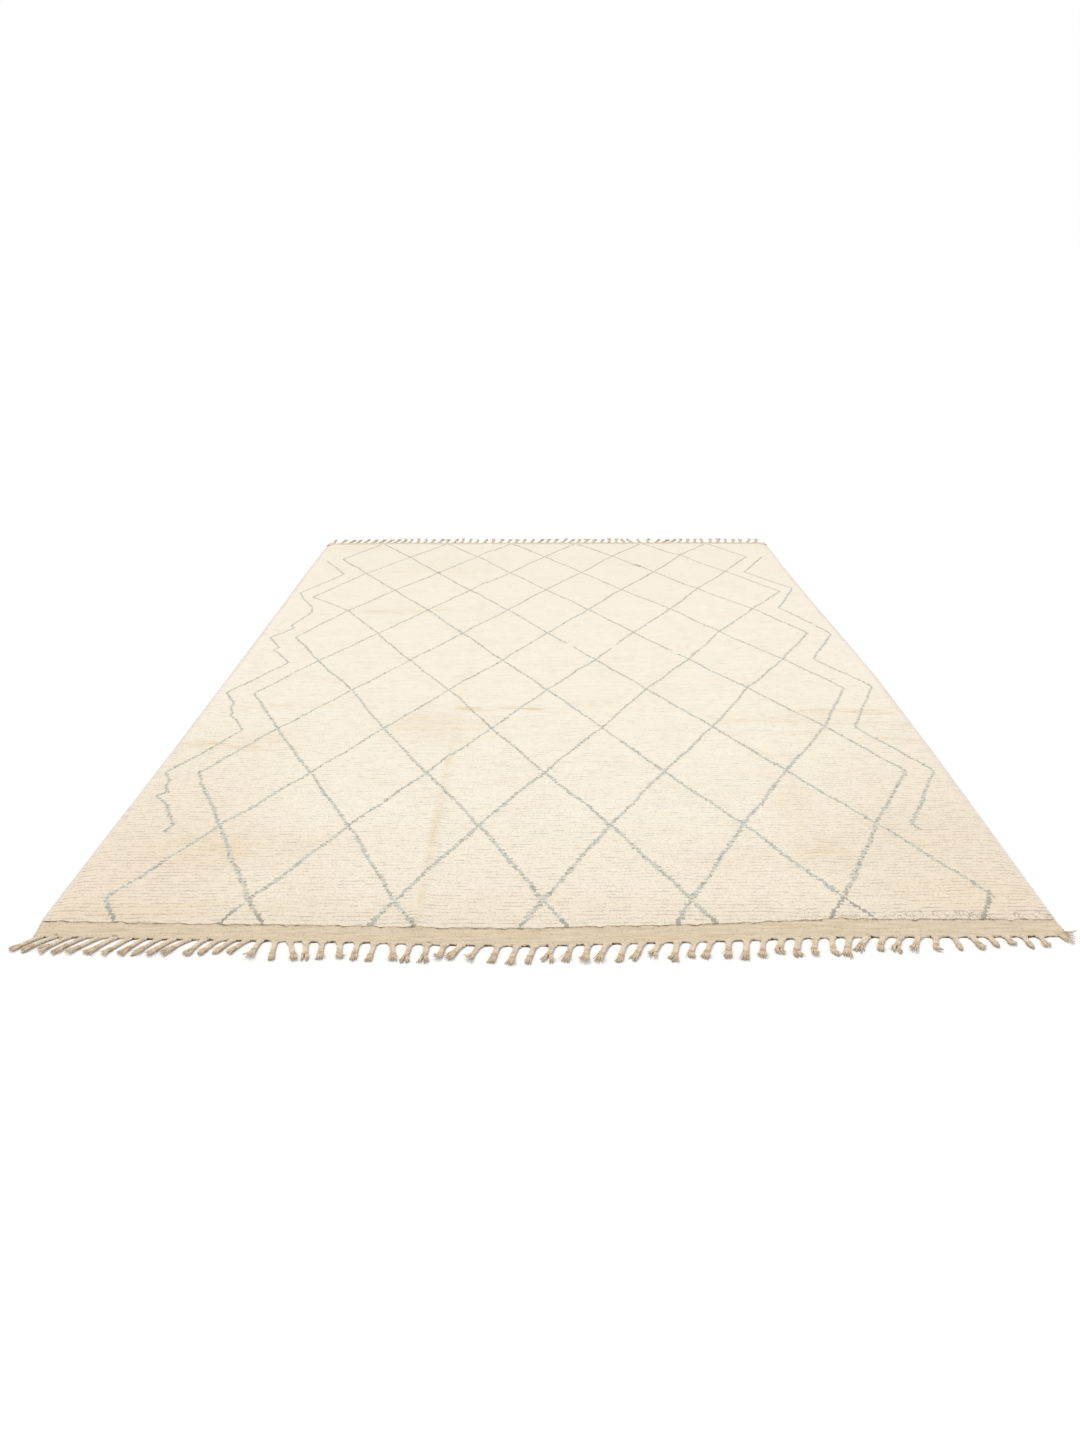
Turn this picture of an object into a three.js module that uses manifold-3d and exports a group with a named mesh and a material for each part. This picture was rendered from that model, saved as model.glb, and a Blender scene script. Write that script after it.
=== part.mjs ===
// A room-sized hand-knotted wool rug in the trellis style, lying flat on its back.
// A low pile field is woven between two flat-woven ends, whose warps are plaited
// into a fringe, and both long sides are overcast with a round selvedge cord.
// Millimetres, +Z up. +X runs across the rug, +Y along the warps to the far end,
// and the origin is on the underside, in the middle of the pile field.
import * as THREE from "three";
import { mergeVertices } from "three/addons/utils/BufferGeometryUtils.js";
import Module from "manifold-3d";

const wasm = await Module();
wasm.setup();

// Driving dimensions.
const RUG_WIDTH = 3000; // over both selvedges, at the corners
const PILE_LENGTH = 3864; // along the sides, without the flat-woven ends
const PILE_THICKNESS = 14; // foundation and pile together
const BAND_THICKNESS = 4; // the foundation alone
const SELVEDGE = 6; // diameter of the overcast side cord
const GAP = 0.3; // between neighbouring pieces

// How far the two long sides stand out from half the width, along the rug.
const SIDES = [
  { along: -2010, left: -9, right: 5 },
  { along: -1925, left: 3, right: 3 },
  { along: -1500, left: 1, right: 16 },
  { along: -950, left: -4, right: 32 },
  { along: -250, left: -3, right: 43 },
  { along: 250, left: -1, right: 34 },
  { along: 700, left: 0, right: 22 },
  { along: 1250, left: 5, right: 11 },
  { along: 2020, left: 4, right: 10 },
];

// Each end, across the rug: how far the pile's edge stands out from half its length
// and the depth of the flat-woven band, then the plaits that leave the band, with
// their lean from straight out in degrees, + towards +X, their length and pitch.
const NEAR_END = {
  outward: -1,
  outline: [
    { across: -1500, pileOut: 1, band: 67 },
    { across: -960, pileOut: 17, band: 68 },
    { across: -550, pileOut: 26, band: 70 },
    { across: -330, pileOut: 35, band: 71 },
    { across: -50, pileOut: 39, band: 75 },
    { across: 130, pileOut: 30, band: 76 },
    { across: 420, pileOut: 24, band: 73 },
    { across: 630, pileOut: 12, band: 76 },
    { across: 840, pileOut: -1, band: 80 },
    { across: 1500, pileOut: 4, band: 73 },
  ],
  fringe: [
    { across: -1500, lean: -56, length: 78, pitch: 43 },
    { across: -1350, lean: -44, length: 84, pitch: 43 },
    { across: -1150, lean: -32, length: 72, pitch: 43 },
    { across: -1040, lean: -42, length: 76, pitch: 43 },
    { across: -970, lean: -27, length: 60, pitch: 43 },
    { across: -870, lean: -34, length: 62, pitch: 43 },
    { across: -800, lean: -4, length: 66, pitch: 44 },
    { across: -740, lean: 16, length: 74, pitch: 48 },
    { across: -640, lean: 2, length: 76, pitch: 51 },
    { across: -400, lean: 3, length: 78, pitch: 51 },
    { across: -310, lean: -8, length: 74, pitch: 50 },
    { across: -220, lean: -34, length: 72, pitch: 51 },
    { across: -130, lean: -14, length: 80, pitch: 51 },
    { across: 200, lean: -20, length: 70, pitch: 51 },
    { across: 300, lean: -27, length: 66, pitch: 50 },
    { across: 420, lean: -12, length: 70, pitch: 50 },
    { across: 640, lean: -22, length: 68, pitch: 50 },
    { across: 840, lean: -13, length: 74, pitch: 50 },
    { across: 930, lean: -38, length: 66, pitch: 49 },
    { across: 1060, lean: -33, length: 64, pitch: 49 },
    { across: 1180, lean: 2, length: 58, pitch: 49 },
    { across: 1300, lean: 8, length: 50, pitch: 49 },
    { across: 1500, lean: 2, length: 50, pitch: 49 },
  ],
  // The near right corner has come undone and frays out sideways.
  tufts: [{ across: 1478, lean: 80, length: 74, curl: 3 }],
};
const FAR_END = {
  outward: 1,
  outline: [
    { across: -1500, pileOut: 24, band: 58 },
    { across: -1000, pileOut: 30, band: 60 },
    { across: -300, pileOut: 15, band: 60 },
    { across: 400, pileOut: 6, band: 61 },
    { across: 1000, pileOut: -2, band: 60 },
    { across: 1500, pileOut: -13, band: 60 },
  ],
  fringe: [
    { across: -1500, lean: 2, length: 74, pitch: 53 },
    { across: -1100, lean: 24, length: 74, pitch: 53 },
    { across: -900, lean: 4, length: 76, pitch: 53 },
    { across: -300, lean: 8, length: 78, pitch: 53 },
    { across: 100, lean: 16, length: 76, pitch: 53 },
    { across: 400, lean: 10, length: 78, pitch: 53 },
    { across: 600, lean: -18, length: 86, pitch: 53 },
    { across: 800, lean: 30, length: 78, pitch: 53 },
    { across: 1100, lean: 8, length: 78, pitch: 53 },
    { across: 1500, lean: 20, length: 74, pitch: 53 },
  ],
  tufts: [],
};

// Where each overcast cord stops, short of the edge of the flat-woven ends.
const CORD_STOPS = [
  { name: "selvedge_left", side: -1, near: 2, far: 2 },
  { name: "selvedge_right", side: 1, near: 30, far: 2 },
];

// The pile's rim: how far in from the edge, and its share of the full thickness.
const RIM = [
  { inset: 0, share: 0.62 },
  { inset: 5, share: 0.88 },
  { inset: 18, share: 1 },
];
const RIM_REACH = 18;

// Lengthwise folds left from storing, as soft ridges.
const CREASES = [
  { across: -380, height: 5, halfWidth: 45 },
  { across: 880, height: 4, halfWidth: 50 },
];

const PLAIT = {
  width: 16,
  height: 7,
  rootInset: 24, // from the side of the cloth to the first and last root
  rootDepth: 10, // how far a plait's root is fused into the band
  clearance: 4, // between neighbouring plaits
  leanSpread: 5, // degrees either way from the table
  lengthSpread: 6,
  curlSpread: 8, // how far a loose tip curls aside
  pitchSpread: 3,
};
// A plait's stations: shares of its length, width and height, and of its curl.
const PLAIT_STATIONS = [
  { along: 0, wide: 1.7, high: 0.5, curl: 0 },
  { along: 0.13, wide: 1.25, high: 0.75, curl: 0 },
  { along: 0.27, wide: 0.95, high: 1, curl: 0.05 },
  { along: 0.62, wide: 1, high: 1, curl: 0.35 },
  { along: 0.82, wide: 1.1, high: 1, curl: 0.7 },
  { along: 1, wide: 1.35, high: 0.7, curl: 1 },
];
const WIDEST_TIP = 1.35;

const COLUMN_STEP = 150;
const ROW_STEP = 190;
const SELVEDGE_SIDES = 6;

const CLOTH_REACH = RUG_WIDTH / 2 - SELVEDGE - GAP;

// The same scattered number from -1 to 1 for the same seed.
function scatter(seed) {
  const wave = Math.sin(seed * 127.1 + 11.7) * 43758.5453;
  return 2 * (wave - Math.floor(wave)) - 1;
}

// A slow wander from -1 to 1 along a length, one full turn each period.
function wander(at, period, phase) {
  const turn = (2 * Math.PI * at) / period;
  return 0.7 * Math.sin(turn + phase) + 0.3 * Math.sin(2.3 * turn + 2 * phase);
}

// The value of a named column of a table at a place between its rows.
function fromTable(rows, key, column, at) {
  const next = rows.findIndex((row) => row[key] > at);
  if (next === 0) return rows[0][column];
  if (next < 0) return rows[rows.length - 1][column];
  const [a, b] = [rows[next - 1], rows[next]];
  const share = (at - a[key]) / (b[key] - a[key]);
  return a[column] + share * (b[column] - a[column]);
}

// Evenly spaced places from low to high, no further apart than step.
function evenly(low, high, step) {
  const pieces = Math.ceil((high - low) / step);
  return Array.from({ length: pieces + 1 }, (_, i) => low + ((high - low) * i) / pieces);
}

// The cloth's outline: its side at a place along it, and its ends at a place across.
function sideAt(side, along) {
  const out = fromTable(SIDES, "along", side < 0 ? "left" : "right", along);
  return side * (CLOTH_REACH + out);
}

function pileEnd({ outward, outline }, across) {
  const out = fromTable(outline, "across", "pileOut", across);
  return outward * (PILE_LENGTH / 2 + out);
}

function bandEnd(end, across) {
  const depth = fromTable(end.outline, "across", "band", across);
  return pileEnd(end, across) + end.outward * (GAP + depth);
}

// A point of the cloth's plan, from its even columns to its uneven width.
function xAt(across, y) {
  const side = across < 0 ? -1 : 1;
  return (across * sideAt(side, y)) / (side * CLOTH_REACH);
}

// A point of the pile's plan, from its even rows to its uneven length.
function pileRowAt(across, along) {
  const end = along < 0 ? NEAR_END : FAR_END;
  return (along * Math.abs(pileEnd(end, across))) / (PILE_LENGTH / 2);
}

// How far the cloth stands off the floor, along its stored folds.
function foldHeight(across) {
  return CREASES.reduce((sum, { across: middle, height, halfWidth }) => {
    const off = Math.abs(across - middle) / halfWidth;
    return sum + (off < 1 ? (height * (1 + Math.cos(Math.PI * off))) / 2 : 0);
  }, 0);
}

// The pile's uneven top, a little thicker in some places than in others.
function pileHeight(across, along) {
  return PILE_THICKNESS + wander(across + 0.4 * along, 700, 0.5) * wander(along, 560, 1.9);
}

// Stations between two edges, with the rim's own insets at both of them.
function withRim(inner, half) {
  const insets = RIM.map((ring) => half - ring.inset);
  const kept = inner.filter((at) => Math.abs(at) < half - 2 * RIM_REACH);
  return [...insets.map((at) => -at), ...kept, ...insets.reverse()];
}

// Columns across the cloth, with one at each fold's foot and ridge, and rows along it.
function clothColumns() {
  const folds = CREASES.flatMap(({ across, halfWidth }) => [
    across - halfWidth,
    across,
    across + halfWidth,
  ]);
  const even = evenly(-CLOTH_REACH, CLOTH_REACH, COLUMN_STEP);
  const apart = even.filter((at) => folds.every((fold) => Math.abs(at - fold) > 20));
  return withRim([...apart, ...folds].sort((a, b) => a - b), CLOTH_REACH);
}

const COLUMNS = clothColumns();
const ROWS = withRim(evenly(-PILE_LENGTH / 2, PILE_LENGTH / 2, ROW_STEP), PILE_LENGTH / 2);

// A geometry with only points and faces, its doubled points merged, and every
// point moved from the plain shape's own place to its real one.
function shaped(plain, place) {
  const bare = plain.index ? plain.toNonIndexed() : plain;
  const points = new THREE.BufferGeometry();
  points.setAttribute("position", bare.getAttribute("position"));
  const merged = mergeVertices(points, 1e-5);
  const position = merged.getAttribute("position");
  const at = new THREE.Vector3();
  for (let i = 0; i < position.count; i++) {
    place(at.fromBufferAttribute(position, i));
    position.setXYZ(i, at.x, at.y, at.z);
  }
  return merged;
}

// A box of unit size whose segments fall on the given stations across and along.
function slab(across, along, place) {
  const box = new THREE.BoxGeometry(1, 1, 1, across.length - 1, along.length - 1, 1);
  return shaped(box, (at) => {
    const i = Math.round((at.x + 0.5) * (across.length - 1));
    const j = Math.round((at.y + 0.5) * (along.length - 1));
    place(at, across[i], along[j], at.z > 0);
  });
}

function solidFrom(geometry) {
  const mesh = new wasm.Mesh({
    numProp: 3,
    vertProperties: geometry.getAttribute("position").array,
    triVerts: new Uint32Array(geometry.index.array),
  });
  return new wasm.Manifold(mesh);
}

function geometryFrom(solid) {
  const mesh = solid.getMesh();
  const geometry = new THREE.BufferGeometry();
  geometry.setAttribute("position", new THREE.BufferAttribute(mesh.vertProperties, 3));
  geometry.setIndex(new THREE.BufferAttribute(mesh.triVerts, 1));
  return geometry;
}

// Turns every face round where a mirrored placing has left the shape inside out.
function facingOut(geometry) {
  if (solidFrom(geometry).volume() >= 0) return geometry;
  const index = geometry.index.array;
  for (let i = 0; i < index.length; i += 3) {
    [index[i + 1], index[i + 2]] = [index[i + 2], index[i + 1]];
  }
  return geometry;
}

// The knotted field: one slab, rounded at its rim, uneven on top, bowed at its ends.
function pileField() {
  return slab(COLUMNS, ROWS, (at, across, along, isTop) => {
    const inset = Math.min(CLOTH_REACH - Math.abs(across), PILE_LENGTH / 2 - Math.abs(along));
    const share = fromTable(RIM, "inset", "share", inset);
    at.y = pileRowAt(across, along);
    at.x = xAt(across, at.y);
    at.z = foldHeight(across) + (isTop ? share * pileHeight(across, along) : 0);
  });
}

// A flat-woven end, whose folds die out towards its edge.
function band(end) {
  const across = [COLUMNS[0], ...COLUMNS.slice(RIM.length, -RIM.length), COLUMNS.at(-1)];
  return slab(across, [0, 1], (at, column, share, isTop) => {
    const outer = bandEnd(end, column);
    const inner = pileEnd(end, column) + end.outward * GAP;
    at.y = inner + share * (outer - inner);
    at.x = xAt(column, at.y);
    at.z = (1 - share) * foldHeight(column) + (isTop ? BAND_THICKNESS : 0);
  });
}

// A plait's middle line on the floor, from its root in the band to its loose tip.
function middleLine(end, { across, length, lean, curl }) {
  const aim = new THREE.Vector3(Math.sin(lean), end.outward * Math.cos(lean), 0);
  const aside = new THREE.Vector3(Math.cos(lean), -end.outward * Math.sin(lean), 0);
  const root = new THREE.Vector3(across, bandEnd(end, across), 0);
  root.addScaledVector(aim, -PLAIT.rootDepth / Math.max(Math.cos(lean), 0.5));
  const tip = root.clone().addScaledVector(aim, length).addScaledVector(aside, curl);
  return { line: new THREE.Line3(root, tip), aim, aside };
}

function distanceApart(a, b) {
  const near = new THREE.Vector3();
  const from = (line, point) => line.closestPointToPoint(point, true, near).distanceTo(point);
  return Math.min(from(a, b.start), from(a, b.end), from(b, a.start), from(b, a.end));
}

// The plaits of one end. Each lean is eased until its plait clears the one before.
function plaitsOf(end) {
  const { fringe, outward, tufts } = end;
  const clear = PLAIT.width * WIDEST_TIP + PLAIT.clearance;
  const plaits = [];
  let across = -CLOTH_REACH + PLAIT.rootInset;
  while (across < CLOTH_REACH - PLAIT.rootInset) {
    const seed = plaits.length + 100 * (outward + 2);
    const [length, lean, pitch] = ["length", "lean", "pitch"].map((column) =>
      fromTable(fringe, "across", column, across),
    );
    const one = {
      across,
      length: PLAIT.rootDepth + length + PLAIT.lengthSpread * scatter(seed + 0.31),
      lean: THREE.MathUtils.degToRad(lean + PLAIT.leanSpread * scatter(seed + 0.57)),
      curl: PLAIT.curlSpread * scatter(seed + 0.83),
    };
    const last = plaits.at(-1);
    const apart = () => distanceApart(middleLine(end, last).line, middleLine(end, one).line);
    while (last && apart() < clear) one.lean += THREE.MathUtils.degToRad(1);
    plaits.push(one);
    across += pitch + PLAIT.pitchSpread * scatter(seed + 0.11);
  }
  const frayed = tufts.map((tuft) => ({ ...tuft, lean: THREE.MathUtils.degToRad(tuft.lean) }));
  return [...plaits, ...frayed];
}

// One plait as a four-sided strand, lying on the floor, its tip loose and wider.
function plait(end, plan) {
  const { line, aim, aside } = middleLine(end, plan);
  const last = PLAIT_STATIONS.length - 1;
  const strand = new THREE.BoxGeometry(1, 1, 1, 1, last, 1);
  const place = (at) => {
    const station = PLAIT_STATIONS[Math.round((at.y + 0.5) * last)];
    const off = PLAIT.width * station.wide * at.x + plan.curl * station.curl;
    const high = at.z > 0 ? PLAIT.height * station.high : 0;
    at.copy(line.start).addScaledVector(aim, plan.length * station.along);
    at.addScaledVector(aside, off).setZ(high);
  };
  return shaped(strand, place);
}

// A flat-woven end with its plaits fused on by their roots.
function fringedEnd(end) {
  const strands = plaitsOf(end).map((plan) => solidFrom(facingOut(plait(end, plan))));
  return geometryFrom(strands.reduce((whole, one) => whole.add(one), solidFrom(facingOut(band(end)))));
}

// A side's overcast cord, along the pile and most of both flat-woven ends.
function selvedge({ side, near, far }) {
  const edge = side * CLOTH_REACH;
  const stops = [
    bandEnd(NEAR_END, edge) + near,
    ...ROWS.map((row) => pileRowAt(edge, row)),
    bandEnd(FAR_END, edge) - far,
  ];
  const halfSide = Math.PI / SELVEDGE_SIDES; // turns a flat side of the cord down
  const segments = stops.length - 1;
  const rod = new THREE.CylinderGeometry(1, 1, 1, SELVEDGE_SIDES, segments, false, halfSide);
  const radius = SELVEDGE / 2;
  return shaped(rod, (at) => {
    const along = stops[Math.round((at.y + 0.5) * segments)];
    const middle = sideAt(side, along) + side * (GAP + radius);
    at.set(middle + radius * at.x, along, radius + (radius * at.z) / Math.cos(halfSide));
  });
}

const materials = {
  pile: new THREE.MeshStandardMaterial({ color: 0xf0e6d2, roughness: 0.95, metalness: 0 }),
  band: new THREE.MeshStandardMaterial({ color: 0xd9c6a4, roughness: 0.9, metalness: 0 }),
  selvedge: new THREE.MeshStandardMaterial({ color: 0xe4dccb, roughness: 0.9, metalness: 0 }),
};

function piece(name, geometry, material) {
  const mesh = new THREE.Mesh(facingOut(geometry), material);
  mesh.name = name;
  return mesh;
}

const rug = new THREE.Group();
rug.add(piece("pile_field", pileField(), materials.pile));
rug.add(piece("fringed_end_near", fringedEnd(NEAR_END), materials.band));
rug.add(piece("fringed_end_far", fringedEnd(FAR_END), materials.band));
for (const stops of CORD_STOPS) {
  rug.add(piece(stops.name, selvedge(stops), materials.selvedge));
}

export default rug;
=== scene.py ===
# A room-sized hand-knotted wool rug in the trellis style, dressed around its solids.
# Metres, +Z up. +X runs across the rug, +Y along the warps to the far end, and the
# origin is on the underside, in the middle of the pile field.
import functools
import math

import bmesh
import bpy
import numpy as np
from mathutils import Matrix


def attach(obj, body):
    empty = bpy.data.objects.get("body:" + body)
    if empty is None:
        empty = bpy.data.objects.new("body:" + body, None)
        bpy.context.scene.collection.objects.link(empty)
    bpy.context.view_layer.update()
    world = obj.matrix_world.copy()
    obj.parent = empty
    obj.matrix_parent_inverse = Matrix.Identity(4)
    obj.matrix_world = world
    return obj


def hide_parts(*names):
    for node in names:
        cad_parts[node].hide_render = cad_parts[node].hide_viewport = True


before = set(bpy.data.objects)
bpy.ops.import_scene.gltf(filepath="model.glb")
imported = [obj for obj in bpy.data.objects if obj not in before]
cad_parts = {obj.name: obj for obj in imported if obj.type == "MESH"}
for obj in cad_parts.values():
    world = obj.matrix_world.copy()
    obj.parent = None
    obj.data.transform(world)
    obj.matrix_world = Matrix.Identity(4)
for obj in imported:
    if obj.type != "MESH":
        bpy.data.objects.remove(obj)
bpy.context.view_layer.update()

bl_info = {
    "name": "Trellis Rug",
    "version": (1, 0, 0),
    "blender": (4, 5, 0),
    "location": "3D View > Sidebar > Rug",
    "description": "Dresses a hand-knotted wool rug with plaited warp ends",
    "category": "Object",
}

# The cloth as it was woven.
RUG_WIDTH = 3.0  # over both selvedges, at the corners
PILE_LENGTH = 3.864  # along the sides, without the flat-woven ends
PILE_THICKNESS = 0.014
BAND_THICKNESS = 0.004
SELVEDGE = 0.006
GAP = 0.0003  # between neighbouring pieces
CLOTH_REACH = RUG_WIDTH / 2 - SELVEDGE - GAP

# How far the two long sides stand out from half the width: along, left, right.
SIDES = [
    (-2.01, -0.009, 0.005), (-1.925, 0.003, 0.003), (-1.5, 0.001, 0.016), (-0.95, -0.004, 0.032),
    (-0.25, -0.003, 0.043), (0.25, -0.001, 0.034), (0.7, 0.0, 0.022), (1.25, 0.005, 0.011),
    (2.02, 0.004, 0.01),
]

# Each end. Outline: across, how far the pile's edge stands out, depth of the band.
# Fringe: across, lean in degrees, length, pitch.
NEAR_END = {
    "outward": -1,
    "outline": [
        (-1.5, 0.001, 0.067), (-0.96, 0.017, 0.068), (-0.55, 0.026, 0.07), (-0.33, 0.035, 0.071),
        (-0.05, 0.039, 0.075), (0.13, 0.03, 0.076), (0.42, 0.024, 0.073), (0.63, 0.012, 0.076),
        (0.84, -0.001, 0.08), (1.5, 0.004, 0.073),
    ],
    "fringe": [
        (-1.5, -56, 0.078, 0.043), (-1.35, -44, 0.084, 0.043), (-1.15, -32, 0.072, 0.043),
        (-1.04, -42, 0.076, 0.043), (-0.97, -27, 0.06, 0.043), (-0.87, -34, 0.062, 0.043),
        (-0.8, -4, 0.066, 0.044), (-0.74, 16, 0.074, 0.048), (-0.64, 2, 0.076, 0.051),
        (-0.4, 3, 0.078, 0.051), (-0.31, -8, 0.074, 0.05), (-0.22, -34, 0.072, 0.051),
        (-0.13, -14, 0.08, 0.051), (0.2, -20, 0.07, 0.051), (0.3, -27, 0.066, 0.05),
        (0.42, -12, 0.07, 0.05), (0.64, -22, 0.068, 0.05), (0.84, -13, 0.074, 0.05),
        (0.93, -38, 0.066, 0.049), (1.06, -33, 0.064, 0.049), (1.18, 2, 0.058, 0.049),
        (1.3, 8, 0.05, 0.049), (1.5, 2, 0.05, 0.049),
    ],
}
FAR_END = {
    "outward": 1,
    "outline": [
        (-1.5, 0.024, 0.058), (-1.0, 0.03, 0.06), (-0.3, 0.015, 0.06), (0.4, 0.006, 0.061),
        (1.0, -0.002, 0.06), (1.5, -0.013, 0.06),
    ],
    "fringe": [
        (-1.5, 2, 0.074, 0.053), (-1.1, 24, 0.074, 0.053), (-0.9, 4, 0.076, 0.053),
        (-0.3, 8, 0.078, 0.053), (0.1, 16, 0.076, 0.053), (0.4, 10, 0.078, 0.053),
        (0.6, -18, 0.086, 0.053), (0.8, 30, 0.078, 0.053), (1.1, 8, 0.078, 0.053),
        (1.5, 20, 0.074, 0.053),
    ],
}

# Where each overcast cord stops, short of the edge of the flat-woven ends.
CORD_STOPS = [("left", -1, 0.002, 0.002), ("right", 1, 0.030, 0.002)]

# Lengthwise folds left from storing: across, height, half width.
CREASES = [(-0.380, 0.005, 0.045), (0.880, 0.004, 0.050)]

# Where those folds have browned: across, from and to along the rug, strength.
CREASE_STAINS = [(-0.380, -1.90, 0.30, 1.0), (-0.380, -1.90, -0.60, 0.6), (0.880, -1.66, -0.75, 1.0)]

# The pile's rim: how far in from the edge, and its share of the full thickness.
RIM = [(0.0, 0.40), (0.012, 0.55), (0.026, 0.72), (0.042, 0.88), (0.060, 1.0)]
RIM_REACH = 0.060
LOOSE_FROM = 0.45  # the near end's last tufts hang over its edge to the right of here
FAR_RIM_FULLER = 3.0  # times as steep at the far end
LOCK_LEAN = 0.004  # of a rim lock's tip, to either side
SEAM_STRAY = 0.006
SCALLOP = 0.0026  # of the flat-woven ends' edges, out at each plait and in between

# The brushes at the plaits' tips, from the left: turn in degrees, spread and how far they
# draw to a point in tenths, and how far they stand off the floor in millimetres.
BRUSHES = [
    (-14, 13, 4, 1), (0, 15, 2, 0), (10, 22, 0, 4), (6, 12, 0, 1), (-6, 12, 0, 4), (-14, 21, 1, 1),
    (8, 23, 1, 4), (0, 14, 0, 1), (-10, 15, 7, 0), (8, 14, 1, 2), (-4, 16, 0, 3), (-24, 19, 8, 0),
    (6, 15, 5, 1), (-16, 13, 5, 0), (-10, 20, 2, 1), (-6, 23, 0, 8), (14, 11, 0, 0), (-2, 13, 0, 2),
    (-8, 12, 0, 0), (-10, 22, 1, 0), (46, 15, 2, 2), (-4, 9, 0, 0), (-26, 13, 1, 0), (4, 14, 0, 1),
    (-10, 19, 0, 0), (-6, 18, 0, 0), (-62, 12, 0, 9), (-10, 13, 0, 2), (-8, 19, 0, 8), (-14, 11, 0, 0),
    (0, 16, 0, 0), (6, 13, 2, 0), (-4, 22, 0, 0), (4, 12, 0, 0), (0, 20, 2, 8), (6, 15, 0, 3),
    (-8, 10, 0, 0), (-14, 11, 0, 0), (4, 12, 4, 7), (-28, 19, 0, 0), (34, 18, 0, 0), (6, 21, 0, 0),
    (0, 18, 2, 0), (-4, 9, 0, 0), (0, 26, 2, 3), (52, 17, 4, 1), (44, 17, 2, 0), (30, 18, 0, 4),
    (54, 11, 5, 0), (0, 20, 0, 0), (4, 18, 0, 0), (36, 16, 2, 0), (34, 17, 1, 0), (-6, 13, 3, 7),
    (58, 18, 3, 3), (10, 10, 7, 0), (18, 15, 5, 2), (16, 10, 8, 0), (72, 15, 7, 2), (8, 10, 8, 0),
    (32, 17, 4, 2),
]

PLAIT_WIDTH = 0.016
STOUTNESS = [(-1.1, 1.0), (-0.6, 1.12), (1.0, 1.16), (1.3, 1.1)]  # across, times as thick
# How much of its full length a near plait has, once it is tied: (across, share).
SHORTER = [(-0.75, 1.0), (-0.50, 0.85), (-0.05, 0.85), (0.20, 1.0), (1.05, 1.0), (1.20, 0.86)]
KNOT_AT = (0.63, 0.79)  # shares of a plait's length
FLOOR_GAP = 0.0002  # under the yarns
PLAIT_ROOT_INSET = 0.024
PLAIT_ROOT_DEPTH = 0.010
PLAIT_CLEARANCE = 0.004
PLAIT_WIDEST_TIP = 1.35
LEAN_SPREAD = 5
LENGTH_SPREAD = 0.006
CURL_SPREAD = 0.008
PITCH_SPREAD = 0.003
# A plait's strands: how far they swing aside and rise, how flat they lie, and the share of
# its length at which they start.
STRAND_SWING = 0.0037
STRAND_LIFT = 0.0013
STRAND_SQUASH = 0.82
PLAIT_START = 0.15
# The warps that gather into its root, over this share of the pitch to either side, and how
# far they start inside the flat-woven end and come out of it.
WARPS = 7
ROOT_SHARE = 0.21
ROOT_TUCK = 0.006
ROOT_REACH = 0.008
WARP_RADIUS = 0.0022
WARP_SPREAD = 0.0002
# The loose warps beyond its knot: how far their outermost yarns turn aside, in degrees.
BRUSH_OPENING = 16
STRAY_OPENING = 24
FORK = 0.45  # how far the halves of a forked tip part
BRUSH_ROOT = 0.0052  # half its width at the knot
SHARP_TURN = 30  # beyond which a brush lies shorter
SHARP_TURN_SHARE = 0.85

# The trellis, row by row from the far end: where it lies along the rug, its first and
# last crossing, and its two outer corners where it has them (across, along).
TRELLIS = [
    (1.975, -1.113, 1.093, None, None),
    (1.643, -0.890, 0.877, (-1.320, 1.603), (1.307, 1.616)),
    (1.309, -1.113, 1.120, None, None),
    (0.986, -0.887, 0.890, (-1.347, 0.876), (1.367, 0.936)),
    (0.653, -1.097, 1.153, None, None),
    (0.309, -0.877, 0.907, (-1.293, 0.269), (1.360, 0.293)),
    (-0.041, -1.107, 1.153, None, None),
    (-0.374, -0.877, 0.913, (-1.313, -0.401), (1.347, -0.368)),
    (-0.741, -1.117, 1.157, None, None),
    (-1.098, -0.897, 0.910, (-1.323, -1.098), (1.363, -1.098)),
    (-1.451, -1.123, 1.137, None, None),
    (-1.853, -0.903, 0.903, (-1.346, -1.836), (1.358, -1.824)),
]
EVEN_CROSSINGS = 6
ODD_CROSSINGS = 5
CROSSING_SPREAD = 0.003
LAST_ROW_MARGIN = 0.004  # between the last crossings and the pile's far end
# How far the crossings in the middle of a row are off their even places: along, across.
SWAY = [
    (-1.9, -0.010), (-0.74, -0.016), (-0.37, -0.010), (0.3, -0.004), (0.65, -0.012), (1.0, 0.0),
]
TRELLIS_PITCH = 0.4425  # from one line to the next of its family, across the rug
TRELLIS_LEAN = 0.651  # how far a line runs across the rug for each metre along it
# The same below the last row: across, lean.
LAST_LEANS = [(-0.90, 0.651), (-0.45, 0.635), (0.0, 0.596), (0.45, 0.560), (0.90, 0.810)]
TRELLIS_SLANT = 1 / math.hypot(1, TRELLIS_LEAN)  # a line's distance, square to it
BEYOND = 3.0  # outside the rug
LINE_SWAY = 0.003  # how far a line wavers across the rug
LINE_RISE = 0.004  # and along it
# How the lines grow wider from the middle of the rug to its near end.
NARROW_AT = -0.6
WIDE_AT = -1.8
WIDER_BY = 0.0016
RAGGED = (0.0040, 0.0078)  # the steps of a line's edges, from knot to knot, over the same way
BOLDER_BY = 0.0008  # a line's half width comes and goes by this much
LINE_SOFTNESS = 0.0006  # of a line's edge
ROW_DRIFT = 0.03  # the rows' slow wandering
TOUSLE = 0.004  # how far the tips of the knots are pushed about

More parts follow.
